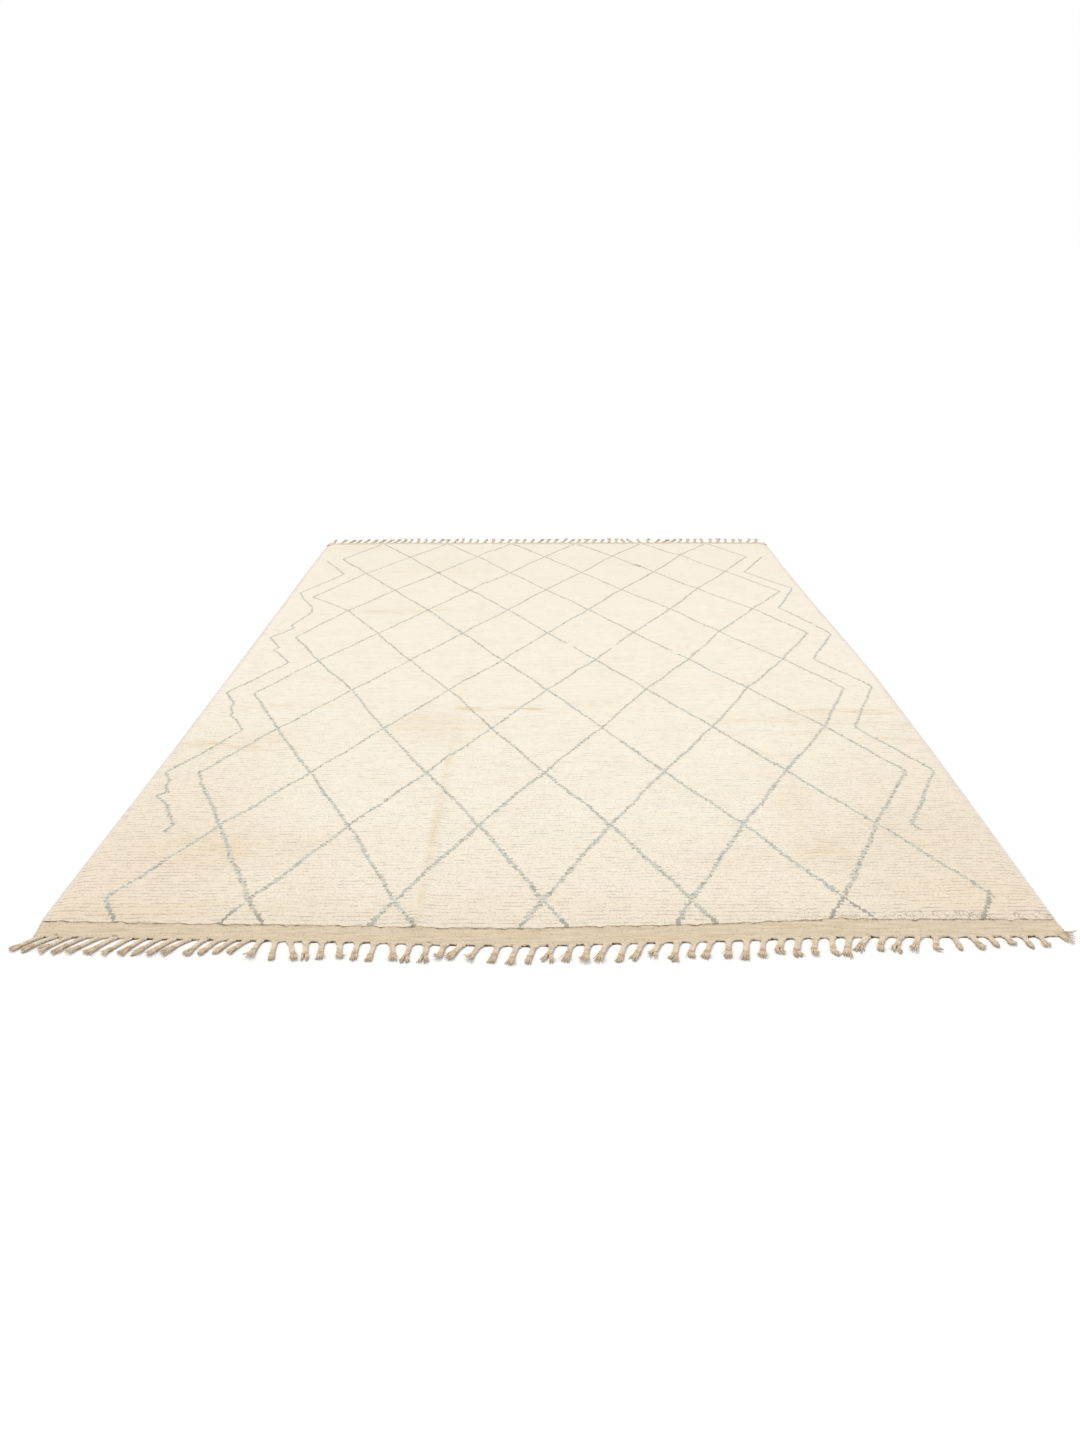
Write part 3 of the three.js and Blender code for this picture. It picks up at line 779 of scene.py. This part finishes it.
def line_share(node, along, chance, to_row, to_knot, marks, noises):
    """1 in the knots of the trellis and of the guard lines, and 0 in all the others."""
    sizes = bpy.context.scene.rug_sizes
    families = []
    for name, side in (("falling", 1), ("rising", -1)):
        shift = node("Math", [to_row, side * TRELLIS_LEAN, to_knot], **TIMES_PLUS)
        number = node("Math", [marks[name], node("Math", [shift, TRELLIS_PITCH], **OVER)], **PLUS)
        to_line = node("Math", [number, 0.5], operation="PINGPONG")
        families.append(node("Math", [to_line, TRELLIS_PITCH * TRELLIS_SLANT], **TIMES))
    trellis = node("Math", [node("Math", families, **LEAST), marks["outside"]], **MOST)
    guard = node("Math", [to_knot, TRELLIS_SLANT, marks["guard"]], **TIMES_PLUS)
    guard = node("Math", [node("Math", [guard], operation="ABSOLUTE"), marks["past"]], **MOST)
    gap = node("Math", [node("Math", [trellis, guard], **LEAST), marks["left_out"]], **PLUS)
    ragged = node("MapRange", [along, NARROW_AT, WIDE_AT, *RAGGED])
    uneven = node("Math", [node("Math", [chance, 0.5], **MINUS), ragged], **TIMES)
    gap = node("Math", [gap, uneven], **PLUS)
    bold = node("MapRange", [noises["boldness"], 0.3, 0.7, -BOLDER_BY, BOLDER_BY])
    wider = node("MapRange", [along, NARROW_AT, WIDE_AT, 0.0, WIDER_BY])
    half = node("Math", [node("Math", [sizes.line_width / 2, bold], **PLUS), wider], **PLUS)
    past = node("Math", [gap, half], **MINUS)
    return node("MapRange", [past, -LINE_SOFTNESS, LINE_SOFTNESS, 1.0, 0.0])


def line_tone(node, dye, ridge, marks, noises):
    """The colour of the lines' wool, from knot to knot, with painted shade on the knots low in the
    furrows.
    """
    colours = bpy.context.scene.rug_colours
    cool = node("MapRange", [noises["line_lots"], 0.40, 0.60])
    lot_tone = node("Mix", {0: cool, 6: rgb(colours.line), 7: rgb(colours.line_cool)}, **BLEND)
    dark = node("MapRange", [dye, 0.52, 1.0])
    # Painted shade on knots low in the furrows.
    furrow_shade = node("MapRange", [ridge, 0.0, 0.7, 0.55, 0.0])
    for darker in (furrow_shade, marks["line_depth"], marks["blot"]):
        dark = node("Math", [dark, darker], **MOST)
    return node("Mix", {0: dark, 6: lot_tone, 7: rgb(colours.line_deep)}, **BLEND)


def pile_material():
    """Hand-knotted wool pile: rows of knots, cut ends, uneven dye lots, knotted lines."""
    sizes = bpy.context.scene.rug_sizes
    material, node, place = new_material("hand_knotted_wool_pile")
    across, along = (node("SeparateXYZ", [place], axis) for axis in "XY")
    marks = {name: node("Attribute", out="Fac", attribute_name=name) for name in PILE_MARKS}
    noises = {}
    for name, waves, detail, roughness in PILE_NOISES:
        vector = place
        if isinstance(waves, tuple):
            vector, waves = node("Mapping", {"Vector": place, "Scale": waves}), 1.0
        inputs = {"Vector": vector, "Scale": waves, "Detail": detail, "Roughness": roughness}
        noises[name] = node("TexNoise", inputs)
    # Rows of knots run across the rug and wander a few millimetres. A knot is one row high.
    drifted = node("Math", [noises["drift"], ROW_DRIFT, along], **TIMES_PLUS)
    row, knot = (
        node("Math", [node("Math", [noises["tousle"], TOUSLE, at], **TIMES_PLUS), size], **OVER)
        for at, size in ((drifted, sizes.row_pitch), (across, sizes.knot_width))
    )
    row_number, knot_number = (node("Math", [at], operation="FLOOR") for at in (row, knot))
    chance, dye = (
        node("TexWhiteNoise", [node("CombineXYZ", [knot_number, row_number, layer])])
        for layer in (0.0, 7.0)
    )
    # The wefts lie in furrows after each second row: 1 on a ridge, 0 in a furrow.
    turn = node("Math", [node("Math", [row, 1.0], **MINUS), math.pi], **TIMES)
    ridge = node("MapRange", [node("Math", [turn], operation="COSINE"), -1.0, 0.0])
    hollow = node("Math", [1.0, ridge], **MINUS)
    ground, furrow, crescents = pile_ground(node, across, along, hollow, marks, noises)
    # The lines are drawn knot by knot: how far a point is from the middle of its knot.
    to_row, to_knot = (
        node("Math", [node("Math", [node("Math", [number, 0.5], **PLUS), at], **MINUS), size], **TIMES)
        for number, at, size in (
            (row_number, row, sizes.row_pitch),
            (knot_number, knot, sizes.knot_width),
        )
    )
    inside = line_share(node, along, chance, to_row, to_knot, marks, noises)
    lines = line_tone(node, dye, ridge, marks, noises)
    patterned = node("Mix", {0: inside, 6: ground, 7: lines}, **BLEND)
    # The relief: rows, the cut ends of the knots, fibres, partings and furrows.
    relief = node("Math", [chance, 0.35, node("Math", [ridge, 0.22], **TIMES)], **TIMES_PLUS)
    for form, amount in ((noises["fuzz"], 1.2), (crescents, -1.5), (furrow, -1.0)):
        relief = node("Math", [form, amount, relief], **TIMES_PLUS)
    finish_material(node, patterned, relief, 0.0011)
    return material


def woven_material():
    """Flat weft-faced weave of undyed wool, ribbed across the warps. Its weft is 4 mm thick,
    and the ribs are drawn at 8 mm so that they still show from a few metres."""
    colours = bpy.context.scene.rug_colours
    material, node, place = new_material("flat_woven_wool")
    # A rib runs on for 110 mm before it fades. The specks are 6 mm.
    ribs = node("Mapping", {"Vector": place, "Scale": (9.0, 125.0, 1.0)})
    weft = node("TexNoise", {"Vector": ribs, "Scale": 1.0, "Detail": 4.0, "Roughness": 0.7})
    tone = node("MapRange", [weft, 0.38, 0.72])
    ribbed = node("Mix", {0: tone, 6: rgb(colours.band), 7: rgb(colours.band_deep)}, **BLEND)
    specks = node("TexNoise", {"Vector": place, "Scale": 170.0, "Detail": 1.0, "Roughness": 0.5})
    fleck = node("MapRange", [specks, 0.62, 0.72, 0.0, 0.35])
    # Brown twining with painted shade comes and goes with its stitches, 18 mm long.
    drawn_out = node("Mapping", {"Vector": place, "Scale": (55.0, 1.0, 1.0)})
    stitches = node("TexNoise", {"Vector": drawn_out, "Scale": 1.0, "Detail": 2.0, "Roughness": 0.6})
    uneven = node("MapRange", [stitches, 0.38, 0.60, 0.15, 1.6])
    hem_and_shade = node("Attribute", out="Fac", attribute_name="hem_and_shade")
    dark = node("Math", [node("Math", [hem_and_shade, uneven], **TIMES), fleck], **MOST)
    colour = node("Mix", {0: dark, 6: ribbed, 7: rgb(colours.hem_and_shade)}, **BLEND)
    finish_material(node, far_painted_light(node, place, colour), weft, 0.0012)
    return material


def yarn_material(name, light, patch_and_shade_colour, low, high):
    """Plied wool yarn, with painted shade where it lies low, nearest the floor, and darker patches."""
    material, node, place = new_material(name)
    # Patches 14 mm long, and a fuzz of fibres 1.7 mm apart.
    patchy = node("TexNoise", {"Vector": place, "Scale": 70.0, "Detail": 3.0, "Roughness": 0.6})
    patches = node("MapRange", [patchy, 0.45, 0.72, 0.0, 0.7])
    # Painted shade on the yarn's lower sides, fading out by the height high.
    low_shade = node("MapRange", [node("SeparateXYZ", [place], "Z"), low, high, 1.0, 0.0])
    tone = node("Math", [patches, low_shade], **MOST)
    colour = node("Mix", {0: tone, 6: rgb(light), 7: rgb(patch_and_shade_colour)}, **BLEND)
    fuzz = node("TexNoise", {"Vector": place, "Scale": 600.0, "Detail": 2.0, "Roughness": 0.6})
    finish_material(node, far_painted_light(node, place, colour), fuzz, 0.0006)
    return material


def middle_line(end, plan):
    """A plait's root, aim and sideways direction on the floor."""
    lean, outward = plan["lean"], end["outward"]
    aim = np.array([math.sin(lean), outward * math.cos(lean)])
    aside = np.array([math.cos(lean), -outward * math.sin(lean)])
    root = np.array([plan["across"], band_end(end, plan["across"])])
    root = root - aim * PLAIT_ROOT_DEPTH / max(math.cos(lean), 0.5)
    return root, aim, aside


def line_ends(end, plan):
    """A plait's root and tip on the floor."""
    root, aim, aside = middle_line(end, plan)
    return root, root + aim * plan["length"] + aside * plan["curl"]


def apart(one, other):
    """How far two straight stretches on the floor are apart."""

    def from_stretch(point, start, stop):
        run = stop - start
        share = np.clip(np.dot(point - start, run) / np.dot(run, run), 0, 1)
        return np.linalg.norm(point - start - share * run)

    pairs = ((one, other), (other, one))
    return min(from_stretch(point, *line) for points, line in pairs for point in points)


def plaits_of(end):
    """The plaits of one end. Each lean is eased until its plait clears the one before."""
    shares = SHORTER if end is NEAR_END else [(0.0, 1.0)]
    stoutness = STOUTNESS if end is NEAR_END else [(0.0, 1.0)]
    clear = PLAIT_WIDTH * PLAIT_WIDEST_TIP + PLAIT_CLEARANCE
    plaits = []
    across = -CLOTH_REACH + PLAIT_ROOT_INSET
    while across < CLOTH_REACH - PLAIT_ROOT_INSET:
        seed = len(plaits) + 100 * (end["outward"] + 2)
        lean, length, pitch = (from_table(end["fringe"], n, across) for n in (1, 2, 3))
        plan = {
            "across": across,
            "length": (PLAIT_ROOT_DEPTH + length + LENGTH_SPREAD * scatter(seed + 0.31))
            * from_table(shares, 1, across),
            "lean": math.radians(lean + LEAN_SPREAD * scatter(seed + 0.57)),
            "curl": CURL_SPREAD * scatter(seed + 0.83),
            "pitch": pitch,
            "seed": seed,
            "stout": from_table(stoutness, 1, across) * (1 + 0.10 * scatter(seed + 0.19)),
            "knot": np.interp(scatter(seed + 0.67), [-1, 1], KNOT_AT),
        }
        while plaits and apart(line_ends(end, plaits[-1]), line_ends(end, plan)) < clear:
            plan["lean"] += math.radians(1)
        plaits.append(plan)
        across += pitch + PITCH_SPREAD * scatter(seed + 0.11)
    return plaits


def along_plait(end, plan, share, aside_by, height):
    """A point of a plait, at a share of its length and beside its middle."""
    root, aim, aside = middle_line(end, plan)
    flat = root + aim * plan["length"] * share + aside * (plan["curl"] * share**2 + aside_by)
    return (*flat, height)


def plait_strands(end, plan, sizes, stations):
    """The three strands of a plait, then the warps that gather into its root."""
    radius = sizes.strand_radius * plan["stout"]
    swing, lift, squash = STRAND_SWING * plan["stout"], STRAND_LIFT, STRAND_SQUASH
    start, stop = PLAIT_START, plan["knot"]
    strands = []
    for strand in range(3):
        points, radii = [], []
        for step in range(stations):
            share = start + (stop - start) * step / (stations - 1)
            phase = 2 * math.pi * (share * plan["length"] / sizes.plait_turn + strand / 3)
            wide = np.interp(share, [start, 0.28, 0.60, stop], [1.20, 1.0, 0.96, 0.85])
            height = radius + squash * lift * (1 + math.sin(2 * phase)) + FLOOR_GAP
            points.append(along_plait(end, plan, share, swing * wide * math.sin(phase), height))
            radii.append(radius * (0.90 if step in (0, stations - 1) else 1.0))
        strands.append((points, radii))
    for warp in range(WARPS):
        off = 2 * warp / (WARPS - 1) - 1
        seed = plan["seed"] + 0.07 * warp
        root_x = plan["across"] + off * ROOT_SHARE * plan["pitch"]
        inner = band_end(end, root_x) - end["outward"] * ROOT_TUCK
        outer = inner + end["outward"] * ROOT_REACH
        thick = (WARP_RADIUS + WARP_SPREAD * scatter(seed)) * plan["stout"]
        points = [
            (root_x, inner, thick + FLOOR_GAP),
            (root_x, outer, thick + 0.0008),
            along_plait(end, plan, 0.18, off * 0.0062, 0.0036),
            along_plait(end, plan, 0.29, off * 0.0048, 0.0034),
        ]
        strands.append((points, [thick, thick, thick * 1.1, thick * 0.9]))
    return strands


def knot_yarn(end, plan, sizes, stations):
    """The yarn wound about a plait to close it."""
    radius = sizes.knot_radius * (1 + 0.12 * scatter(plan["seed"] + 0.9))
    half_width, half_height, half_length = 0.0062 * plan["stout"], 0.0026, 0.0046
    turns = 2.6 + 0.5 * scatter(plan["seed"] + 0.7)
    middle = half_height + radius + FLOOR_GAP
    points, radii = [], []
    for step in range(stations):
        share = step / (stations - 1)
        phase = 2 * math.pi * turns * share + plan["seed"]
        along = plan["knot"] + (2 * share - 1) * half_length / plan["length"]
        aside_by, height = half_width * math.cos(phase), middle + half_height * math.sin(phase)
        points.append(along_plait(end, plan, along, aside_by, height))
        radii.append(radius * (0.7 if step in (0, stations - 1) else 1.0))
    return [(points, radii)]


def brush_yarns(end, plan, sizes, count, strays):
    """The loose warps beyond a plait's knot. They fan out on the floor in two layers, and
    some strays wander off."""
    turn, spread, point, lifted = BRUSHES[(plan["seed"] - 100) % len(BRUSHES)]
    spread, point, lifted = spread / 10, point / 10, lifted / 1000
    forked = max(scatter(plan["seed"] + 0.43), 0.0) if spread > 1.1 else 0.0
    _, aim, aside = middle_line(end, plan)
    reach = (1.0 - plan["knot"]) * plan["length"]
    base = np.array(along_plait(end, plan, plan["knot"] + 0.02, 0.0, 0.0)[:2])
    radius = sizes.loose_radius
    strands = []
    for yarn in range(count + strays):
        seed = plan["seed"] + 0.013 * yarn
        stray = yarn >= count
        off = 1.5 * scatter(seed + 0.8) if stray else 2 * (yarn + 0.5) / count - 1 + 0.2 * scatter(seed)
        layer = 1 if stray or yarn % 2 else 0
        # A plait's warps part at some tips, which leaves a fork.
        off += math.copysign(FORK * forked, off)
        first = math.radians(6 * spread * off)
        opening = STRAY_OPENING if stray else BRUSH_OPENING * (1 - 0.9 * point)
        then = math.radians(turn + opening * spread * off)
        uneven = 1.04 - 0.12 * min(abs(off), 1) + 0.26 * scatter(seed + 0.3)
        pointed = 1.40 - 0.60 * min(abs(off), 1)
        run = reach * ((1 - point) * uneven + point * pointed)
        if abs(turn) > SHARP_TURN:
            run *= SHARP_TURN_SHARE
        thick = radius * (0.6 if stray else 1.0)
        spot = base + aside * BRUSH_ROOT * plan["stout"] * off
        points = [(*(spot - aim * 0.004), 0.0050 + 0.0010 * layer)]
        bends = ((first, 0.40, 0.0058), (0.6 * then, 0.30, 0.0046), (then, 0.40, 0.0))
        for angle, length, height in bends:
            heading = aim * math.cos(angle) + aside * math.sin(angle)
            spot = spot + heading * run * length
            rise = lifted * (len(points) / 3) ** 2
            points.append((*spot, max(height, thick + FLOOR_GAP) + 1.7 * radius * layer + rise))
        strands.append((points, [thick, 1.2 * thick, 1.1 * thick, (0.6 - 0.25 * point) * thick]))
    return strands


def corner_fray(sizes):
    """The near right corner, come undone: warps that fan out sideways, and one thin end."""
    root = np.array([1.474, band_end(NEAR_END, 1.49) + 0.016])
    strands = []
    count, lowest, fan = 24, -72, 82
    for yarn in range(count):
        turn = math.radians(lowest + fan * (yarn + 0.5) / count + 8 * scatter(yarn + 0.2))
        reach = 0.040 + 0.012 * scatter(yarn + 0.7)
        aim = np.array([math.cos(turn), math.sin(turn)])
        start = root + np.array([0.0, 0.012 * (yarn / count - 0.5)])
        points = []
        for share, high in ((-0.1, 0.0020), (0.4, 0.0050), (0.75, 0.0050), (1.0, 0.0030)):
            bend = 0.007 * share * share * scatter(yarn + 0.4)
            spot = start + aim * reach * share + bend * np.array([-aim[1], aim[0]])
            points.append((*spot, high + 0.0012 * (yarn % 2)))
        radius = sizes.loose_radius
        strands.append((points, [radius, 1.2 * radius, radius, 0.6 * radius]))
    thread = [
        (root[0] + right, root[1] + back, high)
        for right, back, high in (
            (0.010, 0.002, 0.0022),
            (0.030, 0.006, 0.0034),
            (0.048, 0.006, 0.0034),
            (0.064, 0.012, 0.0020),
        )
    ]
    strands.append((thread, [0.0015, 0.0014, 0.0013, 0.0010]))
    return strands


def build_pile():
    """The knotted pile, a thin closed sheet over the folds, thinner towards its rim."""
    columns = round(2 * (CLOTH_REACH - RIM_REACH) / COARSE_CELL) + 2
    rows = round(2 * (PILE_LENGTH / 2 - RIM_REACH) / COARSE_CELL) + 2

    def stations(plain, cells, half):
        return np.interp(
            plain,
            [-0.5, -0.5 + 1 / cells, 0.5 - 1 / cells, 0.5],
            [-half, -half + RIM_REACH, half - RIM_REACH, half],
        )

    def place(plain_x, plain_y, is_top):
        across = stations(plain_x, columns, CLOTH_REACH)
        along = stations(plain_y, rows, PILE_LENGTH / 2)
        fuller = np.where(along > 0, FAR_RIM_FULLER, 1.0)
        inset = np.minimum(CLOTH_REACH - np.abs(across), fuller * (PILE_LENGTH / 2 - np.abs(along)))
        y = pile_y_at(across, along)
        y = y + np.interp(PILE_LENGTH / 2 - np.abs(along), [0.0, 0.02], [1, 0]) * seam_stray(across)
        x = x_at(across, y)
        thick = rim_share(inset) * pile_height(across, along)
        return x, y, fold_height(across) + np.where(is_top, thick, 0.0)

    return slab("pile_sheet", columns, rows, TOP_CUTS, place)


def build_band(name, end, plaits):
    """A flat-woven end. Its edge is scalloped, with a bulge over the root of each plait."""
    roots = np.array([plan["across"] for plan in plaits])
    half_pitch = 0.024  # of the plaits, about
    last_row = 0.950  # share of the band's depth, just inside its last weft
    stations = [(0, 0), (1, 0.05), (2, 0.12), (7, 0.90), (8, last_row), (9, 1)]

    def place(plain_x, plain_y, is_top):
        across = 2 * CLOTH_REACH * plain_x
        share = from_table(stations, 1, 9 * (0.5 + plain_y))
        off = np.abs(across[:, None] - roots[None, :]).min(axis=1) / half_pitch
        scallop = SCALLOP * np.cos(np.pi * np.clip(off, 0, 1)) * share**3
        inner = pile_end(end, across) + seam_stray(across) + end["outward"] * GAP
        outer = band_end(end, across) + end["outward"] * scallop
        y = inner + share * (outer - inner)
        x = x_at(across, y)
        ripple = 0.0003 * wander(x, 0.11, 0.4) * wander(y, 0.031, 1.0)
        edge = np.clip((1 - share) * 12, 0, 1)
        thick = BAND_THICKNESS * (0.80 + 0.20 * np.sqrt(edge)) + ripple
        return x, y, (1 - share) * fold_height(across) + np.where(is_top, thick, 0.0)

    mesh = slab(name, *BAND_CELLS, TOP_CUTS, place)
    if end["outward"] < 0:
        mesh.flip_normals()
    x, y = points_of(mesh)[:, :2].T
    depth = np.abs(band_end(end, x) - pile_end(end, x))
    across = x / widening(x, y)
    from_pile = np.abs(y - pile_end(end, across) - seam_stray(across)) / depth
    # Dark lines of brown twining with painted shade: at the seam under the pile's edge, and along the
    # last weft under the band's edge.
    broken = 0.55 + 0.60 * wander(x, 0.083, 0.6) * wander(x, 0.37, 2.2)
    hem_and_shade = np.interp(from_pile, [0.03, 0.07], [1, 0]) * broken
    hem_and_shade += np.interp(from_pile, [last_row - 0.01, 0.99], [0, 1])
    store(mesh, "hem_and_shade", hem_and_shade)
    return mesh


def rim_stations(pitch):
    """Places round the pile's edge: x, y, outward x, outward y, and its even column."""
    places = []
    half = PILE_LENGTH / 2
    count = int(2 * CLOTH_REACH / pitch)
    for end in (NEAR_END, FAR_END):
        for i in range(count + 1):
            across = -CLOTH_REACH + 2 * CLOTH_REACH * i / count
            y = pile_end(end, across) + seam_stray(across)
            if end is FAR_END or across > LOOSE_FROM:
                places.append((x_at(across, y), y, 0.0, end["outward"], across))
    count = int(2 * half / pitch)
    for side in (-1, 1):
        for i in range(1, count):
            along = -half + 2 * half * i / count
            y = pile_y_at(side * CLOTH_REACH, along)
            places.append((side_at(side, y), y, side, 0.0, side * CLOTH_REACH))
    return places


def rim_locks(sizes):
    """Wool locks that lie on the pile's rounded edge and lean out over it."""
    strands = []
    for number, (x, y, out_x, out_y, across) in enumerate(rim_stations(sizes.lock_pitch)):
        shift = 0.6 * sizes.lock_pitch * scatter(number)
        lean = LOCK_LEAN * scatter(number + 0.2)
        thick = sizes.lock_radius * (1 + 0.2 * scatter(number + 0.9))
        lift = fold_height(across) + 0.0006 * scatter(number + 0.6)
        points = []
        tip = -0.0015 + 0.0020 * scatter(number + 0.4) if out_y else -0.0004
        fuller = FAR_RIM_FULLER if out_y > 0 else 1.0
        for inset, share in ((0.022, 0.0), (0.013, 0.35), (0.005, 0.7), (tip, 1.0)):
            side = shift + lean * share
            high = PILE_THICKNESS * rim_share(fuller * max(inset, 0)) - 0.80 * thick + lift
            at_x, at_y = x - out_x * inset, y - out_y * inset
            points.append((at_x + abs(out_y) * side, at_y + abs(out_x) * side, high))
        strands.append((points, [0.7 * thick, thick, 0.9 * thick, 0.45 * thick]))
    return strands


def selvedge_yarn(side, near, far, wrap_pitch):
    """An overcast cord: a core wound with wool, which bulges at each turn."""
    start = band_end(NEAR_END, side * CLOTH_REACH) + near
    stop = band_end(FAR_END, side * CLOTH_REACH) - far
    steps = int(CORD_STEPS * (stop - start) / wrap_pitch)
    radius = SELVEDGE / 2
    points, radii = [], []
    for step in range(steps + 1):
        y = start + (stop - start) * step / steps
        x = side_at(side, y) + side * (GAP + radius)
        points.append((x, y, radius))
        radii.append(radius * (0.98 + 0.02 * scatter(step) if step % CORD_STEPS else DRAWN_IN))
    return [(points, radii)]


class RUG_OT_stage(bpy.types.Operator):
    """Lays the floor and sets the lights, the world and the camera"""

    bl_idname = "rug.stage"
    bl_label = "Stage"

    def execute(self, context):
        scene = context.scene
        shape = bmesh.new()
        bmesh.ops.create_grid(shape, x_segments=1, y_segments=1, size=FLOOR_REACH)
        mesh = bpy.data.meshes.new("floor")
        shape.to_mesh(mesh)
        shape.free()
        # Matt paper, without gloss.
        material, node, _ = new_material("matt_white_floor")
        look = {"Base Color": rgb(linear(FLOOR_COLOUR)), "Roughness": 1.0, "Specular IOR Level": 0.0}
        node("OutputMaterial", {"Surface": node("BsdfPrincipled", look)})
        mesh.materials.append(material)
        floor = bpy.data.objects.new("floor", mesh)
        scene.collection.objects.link(floor)
        world = bpy.data.worlds.new("white_surround")
        world.use_nodes = True
        world.node_tree.nodes.clear()
        node = functools.partial(add_node, world.node_tree)
        seen = node("LightPath", out="Is Camera Ray")
        strength = node("MapRange", [seen, 0.0, 1.0, SKY_STRENGTH, 1.0])
        sky = node("Background", {"Color": (1.0, 1.0, 1.0, 1.0), "Strength": strength})
        node("OutputWorld", {"Surface": sky})
        scene.world = world
        light = bpy.data.lights.new("key", "SUN")
        light.energy = KEY_STRENGTH
        light.angle = math.radians(KEY_SPREAD)
        light.color = KEY_COLOUR
        key = bpy.data.objects.new("key", light)
        tipped = Matrix.Rotation(math.radians(KEY_TIP), 4, "X")
        key.matrix_world = tipped @ Matrix.Rotation(math.radians(KEY_TILT), 4, "Y")
        scene.collection.objects.link(key)
        lens = bpy.data.cameras.new("camera")
        lens.lens = CAMERA_LENS
        lens.clip_end = 500.0
        camera = bpy.data.objects.new("camera", lens)
        turned = Matrix.Rotation(CAMERA_TURN, 4, "Z")
        lowered = Matrix.Rotation(math.pi / 2 - CAMERA_DOWN, 4, "X")
        rolled = Matrix.Rotation(CAMERA_ROLL, 4, "Z")
        camera.matrix_world = Matrix.Translation(CAMERA_PLACE) @ turned @ lowered @ rolled
        scene.collection.objects.link(camera)
        scene.camera = camera
        scene.view_settings.view_transform = "Standard"
        return {"FINISHED"}


class RUG_OT_pile(bpy.types.Operator):
    """Knots the pile field and the locks round its rim"""

    bl_idname = "rug.pile"
    bl_label = "Pile Field"

    def execute(self, context):
        material = pile_material()
        mesh = build_pile()
        mark_pattern(mesh)
        add_piece("pile_sheet", mesh, [material], ["pile_field"])
        locks = yarns("pile_rim_locks", rim_locks(context.scene.rug_sizes), 0)
        mark_pattern(locks)
        add_piece("pile_rim_locks", locks, [material])
        return {"FINISHED"}


class RUG_OT_woven_ends(bpy.types.Operator):
    """Weaves the two flat bands at the rug's ends"""

    bl_idname = "rug.woven_ends"
    bl_label = "Flat-Woven Ends"

    def execute(self, context):
        material = woven_material()
        for name, end in (("near", NEAR_END), ("far", FAR_END)):
            mesh = build_band(f"woven_end_{name}", end, plaits_of(end))
            add_piece(f"woven_end_{name}", mesh, [material], [f"fringed_end_{name}"])
        return {"FINISHED"}


class RUG_OT_fringes(bpy.types.Operator):
    """Plaits the warps of both ends, with their frayed tips"""

    bl_idname = "rug.fringes"
    bl_label = "Plaited Fringes"

    def execute(self, context):
        sizes, colours = context.scene.rug_sizes, context.scene.rug_colours
        plaited = yarn_material("plaited_wool_warps", colours.plait, colours.plait_patches_and_shade, 0.0010, 0.0058)
        tied = yarn_material("knotted_wool_warps", colours.knot, colours.knot_patches_and_shade, 0.0020, 0.0100)
        frayed = yarn_material("frayed_wool_warps", colours.loose, colours.plait_patches_and_shade, 0.0008, 0.0050)
        for name, end, detail, round_to in (("near", NEAR_END, 20, 2), ("far", FAR_END, 14, 1)):
            braids, knots, brushes = [], [], []
            for plan in plaits_of(end):
                braids += plait_strands(end, plan, sizes, detail)
                knots += knot_yarn(end, plan, sizes, detail)
                brushes += brush_yarns(end, plan, sizes, detail - 2, 4)
            replaced = [f"fringed_end_{name}"]
            for part, strands, material, sides in (
                ("plaits", braids, plaited, round_to),
                ("plait_knots", knots, tied, round_to),
                ("loose_ends", brushes, frayed, round_to - 1),
            ):
                mesh = yarns(f"{part}_{name}", strands, sides)
                add_piece(f"{part}_{name}", mesh, [material], replaced)
        mesh = yarns("frayed_corner", corner_fray(sizes), 1)
        add_piece("frayed_corner", mesh, [frayed], ["fringed_end_near"])
        return {"FINISHED"}


class RUG_OT_selvedges(bpy.types.Operator):
    """Overcasts the cords along both sides"""

    bl_idname = "rug.selvedges"
    bl_label = "Overcast Selvedges"

    def execute(self, context):
        sizes, colours = context.scene.rug_sizes, context.scene.rug_colours
        material = yarn_material("overcast_wool_cord", colours.cord, colours.cord_deep, 0.0, 0.004)
        for name, side, near, far in CORD_STOPS:
            mesh = yarns(f"wrapped_cord_{name}", selvedge_yarn(side, near, far, sizes.wrap_pitch), 2)
            add_piece(f"wrapped_cord_{name}", mesh, [material], [f"selvedge_{name}"])
        return {"FINISHED"}


class RUG_OT_declare(bpy.types.Operator):
    """Does nothing"""

    bl_idname = "rug.declare"
    bl_label = "Flat Sizes"

    def execute(self, context):
        return {"FINISHED"}


PIECES = (
    RUG_OT_stage,
    RUG_OT_pile,
    RUG_OT_woven_ends,
    RUG_OT_fringes,
    RUG_OT_selvedges,
    RUG_OT_declare,
)


class RUG_PT_pieces(bpy.types.Panel):
    """Lists the rug's sizes, colours and pieces"""

    bl_idname = "RUG_PT_pieces"
    bl_label = "Trellis Rug"
    bl_space_type = "VIEW_3D"
    bl_region_type = "UI"
    bl_category = "Rug"

    def draw(self, context):
        for group in (context.scene.rug_sizes, context.scene.rug_colours):
            box = self.layout.box()
            for name in type(group).__annotations__:
                box.prop(group, name)
        for operator in PIECES:
            self.layout.operator(operator.bl_idname)


CLASSES = (RugSizes, RugColours, *PIECES, RUG_PT_pieces)


def register():
    for item in CLASSES:
        bpy.utils.register_class(item)
    bpy.types.Scene.rug_sizes = bpy.props.PointerProperty(type=RugSizes)
    bpy.types.Scene.rug_colours = bpy.props.PointerProperty(type=RugColours)


def unregister():
    del bpy.types.Scene.rug_colours
    del bpy.types.Scene.rug_sizes
    for item in reversed(CLASSES):
        bpy.utils.unregister_class(item)


def main():
    register()
    bpy.ops.rug.stage()
    bpy.ops.rug.pile()
    bpy.ops.rug.woven_ends()
    bpy.ops.rug.fringes()
    bpy.ops.rug.selvedges()
    bpy.ops.rug.declare()


if __name__ == "__main__":
    main()
